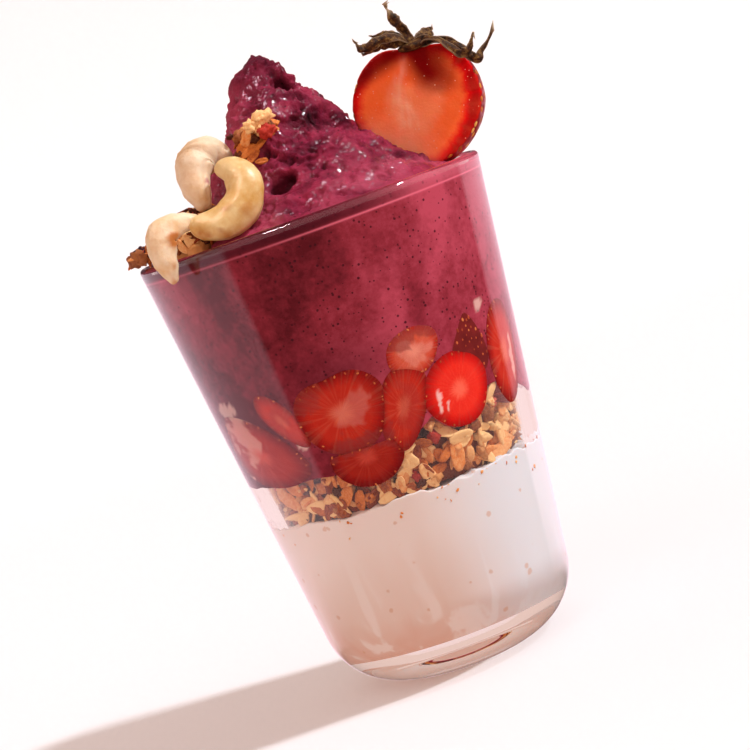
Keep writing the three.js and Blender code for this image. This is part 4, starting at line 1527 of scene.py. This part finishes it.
@dataclass
class Smoothie:
    """The frozen smoothie: what fills the glass, and the mound that stands over its rim."""

    tumbler: Tumbler
    underside: float = 57.6 * MM
    contact: float = 114.8 * MM  # where it leaves the wall in a rounded edge
    froth_height: float = 113.1 * MM  # of the thin line of froth round the wall
    froth_half: float = 0.25 * MM
    froth_rings: tuple[float, ...] = (-2, -1.2, -0.5, 0, 0.5, 1.2, 2)  # of its half height, extra rings there
    drift_fade: float = 12 * MM  # how far over its underside the drift of the granola lifts it
    shade_at: tuple[float, float] = (-12.0, 80 * MM)  # bearing and height of a shaded patch on the wall
    shade_half: tuple[float, float] = (24.0, 7 * MM)
    edge_radius: float = 1 * MM
    edge_steps: int = 6
    rim_gap: float = 0.35 * MM  # between the mound's foot and the wall, over that edge
    reach: float = 0.14 * MM  # into the wall
    reach_wave: float = 0.06 * MM
    steps: int = 288
    rings: int = 80
    voxel: float = 0.46 * MM
    hollows: tuple[Spot, ...] = spots(
        (-5.2, -22.3, 124.6, 1.5, 3.4),
        (-3.5, -22.5, 125.2, 1.7, 4),
        (-1.6, -22.5, 126, 1.4, 3.4),
        (5.2, -4.5, 147.4, 1.8, 3.4),
        (12.3, -8, 135.3, 2.6, 1.5),
        (6.8, -20, 129, 2.2, 1),
        (5, -13.8, 136.5, 4, 0.9),
        (-4.4, -17.9, 133.4, 1, 1.2),
        (-2.9, -18.9, 131.9, 1, 1.3),
        (-1.4, -19.7, 130.6, 1, 1.3),
        (0.2, -20.3, 129.6, 1, 1.2),
        (1.7, -20.7, 128.8, 1, 0.9),
    )
    lobes: tuple[Spot, ...] = spots(
        (10, -3, 139.8, 4, 1.1),
        (13, -19, 125.4, 6, 1),
        (-1, -17, 134.5, 4, 0.9),
        (-10.4, -2, 144.4, 1.8, 0.8),
    )

    def build_filling(self) -> None:
        """Spins what stands against the wall, its skin waving slightly into the glass."""
        even = [mix(self.underside, self.contact, i / self.rings) for i in range(self.rings + 1)]
        extra = [self.froth_height + share * self.froth_half for share in self.froth_rings]
        heights = sorted(even + extra)
        wall = [(self.tumbler.inner_radius(height) + self.reach, height) for height in heights]
        inner = wall[-1][0] - self.edge_radius
        edge = [
            (inner + self.edge_radius * math.cos(angle), self.contact + self.edge_radius * math.sin(angle))
            for angle in (math.pi / 2 * i / self.edge_steps for i in range(1, self.edge_steps + 1))
        ]
        top = self.contact + self.edge_radius
        bottom = [(0.0, self.underside), (wall[0][0] * 0.5, self.underside)]
        shape = turned([*bottom, *wall, *edge, (inner * 0.8, top), (0.0, top)], self.steps)
        film = shape.verts.layers.float.new(FILM)
        haze = shape.verts.layers.float.new(HAZE)
        tones = shape.verts.layers.float.new(TONE)
        lowest = {vert for vert in shape.verts if vert.co.z < self.underside + 0.1 * MM}
        for vert in shape.verts:
            flat = vert.co.xy.length
            above = vert.co.z - self.froth_height
            froth = math.exp(-((above / self.froth_half) ** 2))
            vert[film] = strongest(WALL_SMEARS, vert.co)
            # Painted light and shade round the rim: the froth line and the band over it turn lighter to the
            # right, where the light falls; elsewhere that band is painted shade, as is a patch on the wall
            # above the slices.
            clear = ease(vert.co.x, 4 * MM, 34 * MM)
            band = ease(above, 0.2 * MM, 0.7 * MM)
            froth_lit_side = mix(0.35, 0.95, ease(vert.co.x, -22 * MM, 6 * MM))
            vert[tones] = max(froth_lit_side * froth, 0.45 * clear * band)
            bearing = bearing_of(vert.co)
            aside = (bearing - self.shade_at[0]) / self.shade_half[0]
            upward = (vert.co.z - self.shade_at[1]) / self.shade_half[1]
            shade = math.exp(-(aside**2) - upward**2)
            vert[haze] = max(mix(0.8, 0.1, clear) * band, 0.5 * shade)
            if vert.co.z < self.underside + self.drift_fade:
                fade = 1 - (vert.co.z - self.underside) / self.drift_fade
                lifted = vert.co.z + drift(bearing) * fade * ease(flat, inner * 0.5, inner * 0.8)
                if flat > inner * 0.7:
                    wider = self.tumbler.inner_radius(lifted) - self.tumbler.inner_radius(vert.co.z)
                    vert.co.xy *= 1 + wider / flat
                vert.co.z = lifted
                flat = vert.co.xy.length
            if flat > self.tumbler.inner_radius(vert.co.z):
                wave = self.reach_wave * (lumps(vert.co, 5 * MM) + 0.6 * lumps(vert.co, 1.8 * MM, 2.2))
                vert.co.xy *= 1 + wave / flat
                if vert in lowest:
                    vert.co.z += 1.2 * MM * lumps(vert.co, 6 * MM, 4.4)
        add_piece("smoothie_filling", shape, PressedSmoothie(), "smoothie", ["smoothie"])

    def relief(self, place: Vector) -> float:
        """How far the mound's skin stands out from, or sinks below, the CAD form."""
        swirled = place + 2.4 * MM * Vector(lumps(place, 8 * MM, shift) for shift in (0.3, 4.1, 8.9))
        lump = 1.1 * MM * lumps(swirled, 7.5 * MM, 7.7) + 0.5 * MM * lumps(swirled, 3.2 * MM, 1.3)
        rough = 0.6 + 0.4 * ease(lumps(place, 9 * MM, 6.6), -0.3, 0.25)
        crest = 0.3 - abs(lumps(swirled, 2.6 * MM, 5.9))
        fine = 0.34 * MM * lumps(place, 1.2 * MM, 2.9) + 0.16 * MM * lumps(place, 0.7 * MM)
        crag = rough * (1.8 * MM * crest + 1.35 * fine)
        pit = -1.2 * MM * ease(lumps(swirled, 2.6 * MM, 3.3), 0.45, 0.75)
        shaped = sum(
            sign * each.amount * MM * math.exp(-(each.away(place) ** 2))
            for sign, group in ((-1, self.hollows), (1, self.lobes))
            for each in group
        )
        return lump + crag + pit + shaped

    def build_mound(self) -> None:
        """Remeshes the CAD form above the rim and roughens it."""
        shape = copied("smoothie")
        cut_off(shape, (0, 0, self.contact), (0, 0, -1))
        fine = remeshed(shape, self.voxel, 5)
        film = fine.verts.layers.float.new(FILM)
        haze = fine.verts.layers.float.new(HAZE)
        for vert, normal in [(vert, vert.normal.copy()) for vert in fine.verts]:
            place = vert.co.copy()
            low = ease(-place.z, -128 * MM, -118 * MM) * ease(place.x, -4 * MM, 14 * MM)
            # Painted light: a lighter, lilac left side.
            painted_cool_light = 0.6 * ease(-place.x, 2 * MM, 11 * MM)
            vert[film] = max(0.75 * low * ease(lumps(place, 6 * MM, 1.7), -0.5, 0.3), painted_cool_light)
            # Darker towards the top, and painted shade deep in the larger hollows.
            vert[haze] = 0.5 * ease(place.z, 147 * MM, 156 * MM) + max(
                0.85 * ease(each.amount, 2.5, 5) * math.exp(-(each.away(place) ** 4)) for each in self.hollows
            )
            rise = ease(vert.co.z, self.contact, self.contact + 5 * MM)
            relief = self.relief(vert.co) * rise
            # Painted light on raised crests and painted shade in sunken crags.
            vert[film] = max(vert[film], 0.4 * ease(relief, 0.6 * MM, 1.6 * MM))
            vert[haze] = max(vert[haze], 0.6 * ease(-relief, 0.2 * MM, 1.6 * MM))
            vert.co += normal * relief
            widest = self.tumbler.inner_radius(vert.co.z) - self.rim_gap * (1 + 0.5 * lumps(vert.co, 4 * MM))
            flat = vert.co.xy.length
            if vert.co.z < self.tumbler.height and flat > widest:
                vert.co.xy *= widest / flat
        fine.normal_update()
        add_piece("smoothie_mound", fine, ScoopedSmoothie(), "smoothie", ["smoothie"])

    def build(self) -> None:
        """Builds the filling and the mound."""
        self.build_filling()
        self.build_mound()


# ---- cashews ----


@dataclass
class Cashew:
    """A cashew: a tapered body drawn along a bent line, with a seam round its outer side."""

    node: str
    path: tuple[tuple[float, float, float], ...]
    radii: tuple[float, ...]
    square: tuple[float, float, float]
    finish: RoastedCashew
    scars: tuple[Spot, ...] = ()
    stains: tuple[Spot, ...] = ()
    flatness: float = 0.86
    around: int = 44
    rings: int = 48
    seam_depth: float = 0.45 * MM

    def build(self) -> None:
        """Draws a ball out along the line."""
        line = [Vector(point) * MM for point in self.path]
        widths = [Vector((radius * MM, 0, 0)) for radius in self.radii]
        square = Vector(self.square).normalized()

        def shaped(point: Vector) -> Vector:
            """From the unit ball to the kernel."""
            along = min(1.0, max(0.0, (1 - point.z) / 2))
            girth = min(1.0, point.xy.length)
            tangent = heading(line, along)
            in_plane = square.cross(tangent).normalized()
            flatwise = tangent.cross(in_plane)
            angle = math.atan2(point.y, point.x)
            seam = self.seam_depth * math.exp(-((math.sin(angle) / 0.12) ** 2))
            seam *= 0.4 + 0.6 * abs(math.cos(angle))
            radius = spline(widths, along).x * girth**0.62 - seam * girth
            place = spline(line, along)
            place += in_plane * radius * math.cos(angle) + flatwise * radius * math.sin(angle) * self.flatness
            return place

        shape = moved(ball(self.around, self.rings), shaped)
        tones = shape.verts.layers.float.new(TONE)
        haze = shape.verts.layers.float.new(HAZE)
        for vert, normal in [(vert, vert.normal.copy()) for vert in shape.verts]:
            vert[tones] = self.patch(self.scars, vert.co)
            vert[haze] = self.patch(self.stains, vert.co)
            dent = 0.5 * MM * lumps(vert.co, 5 * MM, 2.2)
            dent += self.finish.wrinkling * 0.8 * lumps(vert.co, 2 * MM, 6.1)
            vert.co += normal * (dent - 0.3 * MM * vert[tones])
        add_piece(f"{self.node}_kernel", shape, self.finish, "cashew", [self.node])

    @staticmethod
    def patch(patches: Sequence[Spot], place: Vector) -> float:
        """How strongly the nearest of the ragged patches shows at a place, from 0 to 1."""
        ragged = 1 + 0.5 * lumps(place, 1.6 * MM, 4.7)
        return max(
            (each.amount * ease(1.4 * ragged - each.away(place), 0.0, 0.9) for each in patches), default=0.0
        )


CASHEWS = (
    Cashew(
        "cashew_left",
        (
            (-24.4, -28.4, 124), (-29.4, -30.6, 124.7), (-33.8, -33, 123.4),
            (-34.8, -33.4, 118), (-34.4, -32.6, 112.4),
        ),
        (2.8, 3.1, 3.6, 3.3, 2), (0.55, -0.83, 0.1), BROKEN_CASHEW,
        scars=spots(
            (-30.2, -35, 121.6, 2.2, 1),
            (-34.6, -35.4, 111.6, 2.2, 0.8),
            (-32, -35.6, 116, 1.4, 0.6),
        ),
        stains=spots((-25.6, -31, 122.4, 1, 0.8)),
    ),
    Cashew(
        "cashew_upright",
        (
            (-22.4, -24, 125.8), (-22.8, -21.6, 131.4), (-21.4, -18, 136.3),
            (-17.6, -14.4, 137.7), (-13.6, -13, 133.2),
        ),
        (3.6, 4.3, 4.9, 4.9, 3.8), (-0.5, -0.75, -0.42), CHALKY_CASHEW,
        scars=spots(
            (-24.6, -25, 134.4, 2.2, 0.3),
            (-21, -27, 127.4, 2, 0.4),
        ),
        stains=spots((-18.8, -24.4, 132, 1.2, 0.85)),
    ),
    Cashew(
        "cashew_front",
        (
            (-16.4, -25.4, 134.6), (-12.4, -27.4, 131), (-12.8, -30, 125.2),
            (-18.6, -32, 121.8), (-27, -32, 123),
        ),
        (3.7, 4.3, 4.6, 4.7, 4.4), (0.05, -0.94, 0.3), WAXY_CASHEW,
        scars=spots(
            (-17.2, -36, 125.2, 1.6, 0.9),
            (-13, -34.4, 122.6, 1.8, 0.5),
            (-26, -35, 119.4, 2.6, 0.9),
            (-20, -35.6, 118.4, 1.8, 0.8),
        ),
    ),
)


# ---- the halved strawberry ----


@dataclass
class HalvedStrawberry:
    """Half a strawberry stood on the rim, its cut face to the viewer."""

    at: Vector = Vector((34, -2.6, 131.4)) * MM  # middle of the widest section
    half_width: float = 16.4 * MM
    half_length: float = 15.7 * MM
    depth: float = 14.2 * MM
    cut_ahead: float = 2.5 * MM
    face_turn: float = -13.0
    lean: float = 12.0
    tip_back: float = -13.0
    shoulder: float = 0.8
    taper: float = 0.1
    voxel: float = 0.36 * MM
    seeds: int = 150
    edge_seeds: tuple[float, ...] = (-118, -92, -64, 42, 66, 92, 121, 140)  # degrees round it from the stem
    seed_half: Vector = Vector((0.55, 0.85, 0.32)) * MM
    pit_depth: float = 0.55 * MM
    pit_reach: float = 1.15 * MM
    chance: int = 4  # the number that sets the seeds' tones

    @property
    def placement(self) -> Matrix:
        """From the berry's own axes, stem up and cut face to the front, to its place."""
        turn = Matrix.Rotation(math.radians(self.face_turn), 4, "Z")
        tip = Matrix.Rotation(math.radians(self.tip_back), 4, "X")
        return Matrix.Translation(self.at) @ turn @ tip @ Matrix.Rotation(math.radians(self.lean), 4, "Y")

    def skin(self, point: Vector) -> Vector:
        """From the unit ball to the whole berry's skin, in its own axes."""
        girth = point.xy.length
        fuller = max(girth, 1e-9) ** (self.shoulder - 1) if point.z > 0 else 1 + self.taper * point.z
        dip = 1 - 0.12 * math.exp(-((girth / 0.3) ** 2)) * max(0.0, point.z)
        return Vector((
            point.x * fuller * self.half_width,
            point.y * fuller * self.depth,
            point.z * dip * self.half_length,
        ))

    def seed_places(self) -> list[Vector]:
        """Where seeds sit on the skin behind the cut, in the berry's own axes."""
        places = []
        for i in range(2 * self.seeds):
            rise = 1 - 2 * (i + 0.5) / (2 * self.seeds)
            reach = math.sqrt(1 - rise * rise)
            angle = i * GOLDEN_ANGLE
            place = self.skin(Vector((reach * math.cos(angle), reach * math.sin(angle), rise)))
            if place.y > -self.cut_ahead + 0.5 * MM and rise < 0.86:
                places.append(place)
        for degrees in self.edge_seeds:
            angle = math.radians(degrees)
            ahead = self.cut_ahead / self.depth - 0.05
            reach = math.sqrt(1 - ahead * ahead)
            places.append(self.skin(Vector((reach * math.sin(angle), -ahead, reach * math.cos(angle)))))
        return places

    def darkness(self, across: float, along: float) -> float:
        """How deep red the cut face is at a place, from 0 to 1: darker round its hollow core, with a painted
        shadow of the sepals on its upper left.
        """
        slant = across - 0.26 + 0.35 * (along - 0.5)  # from the core's line, which leans left as it rises
        core = math.exp(-(abs(slant / 0.32) ** 3) - ((along - 0.66) / 0.5) ** 4)
        beside = 0.7 * math.exp(-(((across - 0.36) / 0.28) ** 2) - ((along - 0.26) / 0.16) ** 2)
        # These two: the painted shadow that the sepals cast on the upper left.
        corner = ease(along - 0.3 - 0.5 * (across + 0.93), -0.12, 0.2) * ease(-across, -0.12, 0.3)
        sepal_shadow_top = 0.8 * ease(along, 0.6, 0.84) * ease(-across, -0.8, -0.4)
        ragged = 0.2 * lumps(Vector((across, along, 0)), 0.3, 2.2)
        return min(1.0, max(core, beside, corner, sepal_shadow_top) * (1 + ragged))

    def paleness(self, across: float, along: float) -> float:
        """How thick the pale fibres down the middle of the cut face are at a place, from 0 to 1, with a
        painted glow low on the left.
        """
        line = -0.15 - 0.14 * math.exp(-(((along - 0.25) / 0.25) ** 2))
        width = mix(0.07, 0.2, ease(-along, -0.6, 0.5))
        wisps = 0.65 + 0.7 * lumps(Vector((across * 4, along, 0)), 0.22, 5.1)
        streak = math.exp(-(((across - line) / width) ** 2))
        streak *= ease(along, -0.95, -0.2) * ease(-along, -0.95, -0.6)
        # Painted light: the glow of light through the flesh, low on the left.
        glow = 0.4 * ease(-along, -0.1, 0.7) * ease(-across, -0.5, 0.3)
        return max(0.0, 0.55 * streak * wisps, glow)

    def build_flesh(self) -> None:
        """Builds the half berry with a fine skin, pitted for its seeds."""
        whole = moved(ball(96, 64), self.skin)
        outline = cut_off(whole, (0, -self.cut_ahead, 0), (0, -1, 0))
        rim = [vert.co.copy() for vert in {vert for edge in outline for vert in edge.verts}]
        fine = remeshed(whole, self.voxel, 2)
        edge_tree = nearest_of(rim)
        pit_tree = nearest_of(self.seed_places())
        berry = fine.verts.layers.float_vector.new(BERRY)
        film = fine.verts.layers.float.new(FILM)
        haze = fine.verts.layers.float.new(HAZE)
        for vert in fine.verts:
            normal = vert.normal.copy()
            on_face = normal.y < -0.8
            across, along = vert.co.x / self.half_width, vert.co.z / self.half_length
            depth = edge_tree.find(vert.co)[2]
            reach = max(0.0, 1 - depth / (self.half_width * 0.7)) if on_face else 1.0
            dark = self.darkness(across, along)
            redder = 0.16 * ease(across, 0.35, 0.85)
            vert[berry] = (across, along, min(1.0, reach + redder))
            # Pale fibres with painted glow, and a darker core with the painted shadow of the sepals.
            vert[film] = self.paleness(across, along) if on_face else 0.0
            vert[haze] = dark if on_face else 0.0
            if on_face:
                sunk = dark * ease(0.9 - along, 0.0, 0.3) * ease(across, -0.3, -0.1)
                vert.co.y += 0.12 * MM * lumps(vert.co, 2.4 * MM) + 0.25 * MM * sunk
            else:
                away = pit_tree.find(vert.co)[2]
                vert.co -= normal * self.pit_depth * math.exp(-((away / (0.6 * self.pit_reach)) ** 2))
        bmesh.ops.transform(fine, matrix=self.placement, verts=fine.verts)
        fine.normal_update()
        piece = add_piece("strawberry_half_flesh", fine, HALVED_FLESH, "strawberry", ["strawberry_half"])
        piece.data.materials.append(StrawberrySkin().material())
        facing = self.placement.to_3x3() @ Vector((0, -1, 0))
        for face in piece.data.polygons:
            face.material_index = int(face.normal.dot(facing) < 0.6)

    def build_seeds(self) -> None:
        """Sets a seed in each pit."""
        draw = random.Random(self.chance)
        heap = Heap()
        for place in self.seed_places():
            outward = Vector((
                place.x / self.half_width**2, place.y / self.depth**2, place.z / self.half_length**2
            )).normalized()
            seed = ball(8, 6)
            bmesh.ops.scale(seed, vec=self.seed_half, verts=seed.verts)
            heap.add(laid(seed, place - outward * 0.35 * MM, outward, 0.0), draw.random())
        bmesh.ops.transform(heap.shape, matrix=self.placement, verts=heap.shape.verts)
        add_piece("strawberry_half_seeds", heap.shape, SEED_HUSK, "strawberry")

    def build(self) -> None:
        """Builds the flesh and its seeds."""
        self.build_flesh()
        self.build_seeds()


@dataclass
class Sepal:
    """A dried sepal: the places that it passes on from the hub, its tip last, and its width."""

    path: tuple[tuple[float, float, float], ...]
    width: float
    pale_tip: float = 0.05  # the share of its length that has bleached
    twist: float = 60.0  # degrees that its face is turned up towards the viewer
    thickness: float = 0.3 * MM
    steps: int = 40
    across: int = 8

    def build(self, hub: Vector, number: int) -> None:
        """Bends a narrow sheet along the path, gives it a ragged edge and thickens it."""
        line = [hub, *(Vector(point) * MM for point in self.path)]
        shape = bmesh.new()
        tones = shape.verts.layers.float.new(TONE)
        bmesh.ops.create_grid(shape, x_segments=self.steps, y_segments=self.across, size=0.5)
        for vert in shape.verts:
            along, side_share = vert.co.x + 0.5, 2 * vert.co.y
            tangent = heading(line, along)
            twist = math.radians(self.twist * math.sin(5 * along + number) * 0.5)
            facing = Matrix.Rotation(twist, 3, tangent)
            side = (facing @ tangent.cross(Vector((0.1, -1, 0.25)))).normalized()
            above = tangent.cross(side)
            shoulder = 0.5 + 0.45 * math.sin(math.pi * along**0.7)
            ragged = 1 + 0.45 * noise.noise(Vector((11 * along, 3 * number, math.copysign(1, side_share))))
            half_width = self.width * MM / 2 * shoulder * ease(1.04 - along, 0.0, 0.35) * ragged
            fold = -0.6 * MM * (1 - abs(side_share)) * (1 - 0.5 * along)
            wave = 0.4 * MM * math.sin(8 * along + 2.2 * side_share)
            wave += 0.2 * MM * math.sin(19 * along + number)
            crinkle = 0.7 * MM * noise.noise(Vector((7 * along, 1.2 * side_share, 5 * number)))
            vert[tones] = max(ease(along, 1 - self.pale_tip, 1.0), 0.35 * ease(abs(side_share), 0.7, 1.0))
            vert.co = spline(line, along) + side * side_share * half_width + above * (fold + wave + crinkle)
        shape.normal_update()
        bmesh.ops.solidify(shape, geom=shape.faces[:], thickness=self.thickness)
        bmesh.ops.recalc_face_normals(shape, faces=shape.faces)
        add_piece(f"sepal_{number}", shape, DriedLeaf(), "calyx", ["calyx"])


@dataclass
class Calyx:
    """The dried calyx on the halved strawberry: sepals round a small hub."""

    hub: Vector = Vector((38, -2, 145.8)) * MM
    hub_half: Vector = Vector((4.2, 3.4, 1.3)) * MM
    sepals: tuple[Sepal, ...] = (
        Sepal(((32, -5.2, 149.4), (26, -6, 148.8), (24.2, -6, 151.2)), 2.3),
        Sepal(((31, -3.4, 148.4), (25.1, -3.4, 147.6)), 2.4),
        Sepal(((36.2, -2.6, 151), (34.8, -3, 154.2), (34, -3, 157.6)), 2.5, pale_tip=0.4),
        Sepal(((42, -7, 145.8), (47, -9.8, 140.2), (49.8, -10, 140.8), (51.7, -9.6, 143.7)), 2.3),
        Sepal(((45.4, -6.6, 144), (49.8, -9.8, 137.8), (52, -9.4, 138.6), (56.6, -8, 142.5)), 2.3),
        Sepal(((42, 7, 147.4), (44.4, 12, 148.4)), 3.6),
        Sepal(((33.4, 6.6, 149.6), (29.6, 11, 151.6)), 3.6),
    )

    def build(self) -> None:
        """Builds the hub and each sepal."""

        def uneven(point: Vector) -> Vector:
            """From the unit ball to the hub."""
            return self.hub + point * self.hub_half * (1 + 0.15 * noise.noise(point * 2))

        add_piece("calyx_hub", moved(ball(24, 14), uneven), DriedLeaf(), "calyx", ["calyx"])
        for number, sepal in enumerate(self.sepals, 1):
            sepal.build(self.hub, number)


# ---- studio ----


@dataclass
class Studio:
    """The floor, the lights round the tumbler and the camera that looks as the photographer did."""

    camera_distance: float = 550 * MM
    camera_height: float = 131.4 * MM
    aim_height: float = 58.5 * MM
    focal_pixels: float = 2238.0
    image_pixels: float = 750.0
    aim_pixel: tuple[float, float] = (388.0, 432.0)  # where the aimed place lies in the picture
    roll: float = 19.85  # degrees that the photographer tipped the picture
    sensor_width: float = 36.0
    board_half: float = 3.0
    sweep_start: float = 0.5
    sweep_radius: float = 1.0
    sweep_steps: int = 24
    bright_from: float = 28.0  # degrees forward of the left side at which the bright panel starts
    panel_low: float = -0.36  # sines of the angles over the horizon where the panel fades in
    panel_full: float = -0.28
    bright_panel: float = 1.35
    dark_room: float = 0.1
    softbox_bearing: float = -30.0  # degrees, of a small box overhead that is only mirrored: wet things glint
    softbox_rise: float = 52.0  # degrees
    softbox_half: float = 6.5  # degrees
    softbox_fade: float = 2.0  # degrees
    softbox_strength: float = 45.0
    mirror_depth: float = 3.5  # after so many bounces even a mirrored ray sees the soft surround
    soft_glow: float = 0.93
    seen_through: float = 1.0
    soft_tint: str = "#ffded3"
    mirrored_tint: str = "#f6dcea"
    through_tint: str = "#ffe2e0"
    sun_strength: float = 2.7
    sun_tint: str = "#f4f8ff"
    sun_width: float = 5.0  # degrees
    sun_bearing: float = 80.0
    sun_rise: float = 45.0  # degrees

    def build_camera(self) -> None:
        """Places the camera and tips it."""
        data = bpy.data.cameras.new("camera")
        data.sensor_width = self.sensor_width
        data.lens = self.focal_pixels / self.image_pixels * self.sensor_width
        camera = add_object("camera", data)
        camera.location = (0, -self.camera_distance, self.camera_height)
        level = (Vector((0, 0, self.aim_height)) - camera.location).to_track_quat("-Z", "Y")
        middle = self.image_pixels / 2
        off_axis = Vector((middle - self.aim_pixel[0], self.aim_pixel[1] - middle, -self.focal_pixels))
        rolled = level.to_matrix() @ Matrix.Rotation(math.radians(-self.roll), 3, "Z")
        swing = Vector((0, 0, -1)).rotation_difference(off_axis).to_matrix()
        camera.rotation_euler = (rolled @ swing).to_euler()
        bpy.context.scene.camera = camera

    def build_floor(self) -> None:
        """Lays a wide pale board that curves up behind the tumbler."""
        radius = self.sweep_radius
        bend = [
            (self.sweep_start + radius * math.sin(angle), radius * (1 - math.cos(angle)))
            for angle in (math.pi / 2 * i / self.sweep_steps for i in range(self.sweep_steps + 1))
        ]
        profile = [
            (-self.board_half, 0.0), *bend, (self.sweep_start + radius, radius + self.board_half),
        ]
        shape = bmesh.new()
        verts = [shape.verts.new((-self.board_half, y, z)) for y, z in profile]
        edges = [shape.edges.new(pair) for pair in zip(verts, verts[1:])]
        strip = bmesh.ops.extrude_edge_only(shape, edges=edges)
        far = [item for item in strip["geom"] if isinstance(item, bmesh.types.BMVert)]
        bmesh.ops.translate(shape, verts=far, vec=(2 * self.board_half, 0, 0))
        mesh = meshed(shape, "floor")
        mesh.shade_smooth()
        mesh.materials.append(PaintedFloor().material())
        floor = add_object("floor", mesh)
        # Nothing under the tumbler lit it or showed in it, so the floor does neither.
        floor.visible_glossy = False
        floor.visible_transmission = False
        floor.visible_diffuse = False
        floor.visible_shadow = False

    def build_world(self) -> None:
        """Gives a soft warm surround, mirrored as a dark room with a bright panel to the left and behind."""
        world = bpy.data.worlds.new("surround")
        world.use_nodes = True
        tree = world.node_tree
        tree.nodes.clear()
        towards = add_node(tree, "TexCoord").outputs["Generated"]
        edge = math.radians(self.bright_from)
        side = add_node(tree, "VectorMath", {
            0: towards, 1: (-math.sin(edge), math.cos(edge), 0),
        }, operation="DOT_PRODUCT").outputs["Value"]
        behind = add_node(tree, "MapRange", {"Value": side, "From Min": -0.04, "From Max": 0.04})
        rise = add_node(tree, "SeparateXYZ", {0: towards}).outputs["Z"]
        above = add_node(tree, "MapRange", {
            "Value": rise, "From Min": self.panel_low, "From Max": self.panel_full,
        })
        below = add_node(tree, "MapRange", {"Value": rise, "From Min": 0.04, "From Max": -0.04})
        band = add_node(tree, "Math", {0: above, 1: below}, operation="MULTIPLY")
        panel = add_node(tree, "Math", {0: behind, 1: band}, operation="MULTIPLY")
        room = add_node(tree, "MapRange", {
            "Value": panel, "To Min": self.dark_room, "To Max": self.bright_panel,
        })
        centre = on_wall(self.softbox_bearing, math.cos(math.radians(self.softbox_rise)), 0.0)
        near = add_node(tree, "VectorMath", {
            0: towards, 1: (centre.x, centre.y, math.sin(math.radians(self.softbox_rise))),
        }, operation="DOT_PRODUCT").outputs["Value"]
        softbox = add_node(tree, "MapRange", {
            "Value": near, "From Min": math.cos(math.radians(self.softbox_half + self.softbox_fade)),
            "From Max": math.cos(math.radians(self.softbox_half)), "To Max": self.softbox_strength,
        })
        mirrored = add_node(tree, "Math", {0: room, 1: softbox}, operation="ADD")
        paths = add_node(tree, "LightPath").outputs
        mirror = add_node(tree, "Math", {
            0: paths["Is Glossy Ray"], 1: paths["Is Transmission Ray"],
        }, operation="SUBTRACT", use_clamp=True)
        early = add_node(tree, "Math", {0: paths["Ray Depth"], 1: self.mirror_depth}, operation="LESS_THAN")
        path = add_node(tree, "Math", {0: mirror, 1: early}, operation="MULTIPLY")
        soft, sharp, through = (
            add_node(tree, "Background", {"Color": linear(tint), "Strength": strength})
            for tint, strength in (
                (self.soft_tint, self.soft_glow), (self.mirrored_tint, mirrored),
                (self.through_tint, self.seen_through),
            )
        )
        seen = add_node(tree, "MixShader", {"Fac": paths["Is Transmission Ray"], 1: soft, 2: through})
        both = add_node(tree, "MixShader", {"Fac": path, 1: seen, 2: sharp})
        add_node(tree, "OutputWorld", {"Surface": both})
        bpy.context.scene.world = world

    def build_sun(self) -> None:
        """Hangs the key light high on the right."""
        data = bpy.data.lights.new("key", "SUN")
        data.energy = self.sun_strength
        data.angle = math.radians(self.sun_width)
        data.color = linear(self.sun_tint)[:3]
        sun = add_object("key", data)
        azimuth, rise = math.radians(self.sun_bearing), math.radians(self.sun_rise)
        towards = Vector((
            math.sin(azimuth) * math.cos(rise), -math.cos(azimuth) * math.cos(rise), math.sin(rise)
        ))
        sun.rotation_euler = towards.to_track_quat("Z", "Y").to_euler()

    def build(self) -> None:
        """Builds everything round the tumbler."""
        self.build_camera()
        self.build_floor()
        self.build_world()
        self.build_sun()
        bpy.context.scene.view_settings.view_transform = "Standard"


def main() -> None:
    """Builds every piece in order, then the studio."""
    logging.basicConfig(level=logging.INFO)
    Studio().build()
    tumbler = Tumbler()
    tumbler.build()
    YogurtLayer(tumbler).build()
    GranolaBand(tumbler).build()
    SliceRing(tumbler).build()
    Smoothie(tumbler).build()
    for cashew in CASHEWS:
        cashew.build()
    HalvedStrawberry().build()
    Calyx().build()
    Cluster(
        "granola_peak", Vector((-5.4, -14.8, 137.6)) * MM, Vector((4.8, 2.2, 3.2)) * MM,
        oats=9, lumps=6, berry_bits=0, seed=21, lowest=0.0,
    ).build()
    add_bits("granola_peak_laid_oats", PEAK_OATS, ROLLED_OAT, "granola", 5)
    add_bits("granola_peak_laid_lumps", PEAK_LUMPS, BAKED_CLUSTER, "granola", 6)
    add_bits("granola_peak_laid_berries", PEAK_BERRIES, DRIED_BERRY, "strawberry", 7)
    Cluster(
        "granola_heap", Vector((-26.4, -15, 119.6)) * MM, Vector((9.5, 12.5, 6.8)) * MM,
        oats=60, lumps=40, berry_bits=4, seed=33,
    ).build()
    Cluster(
        "granola_rim", Vector((-41.4, -8, 119.5)) * MM, Vector((2.7, 4.6, 1.5)) * MM,
        oats=5, lumps=16, berry_bits=2, seed=47, lump_finish=STAINED_CLUSTER, lowest=0.0,
    ).build()


if __name__ == "__main__":
    main()
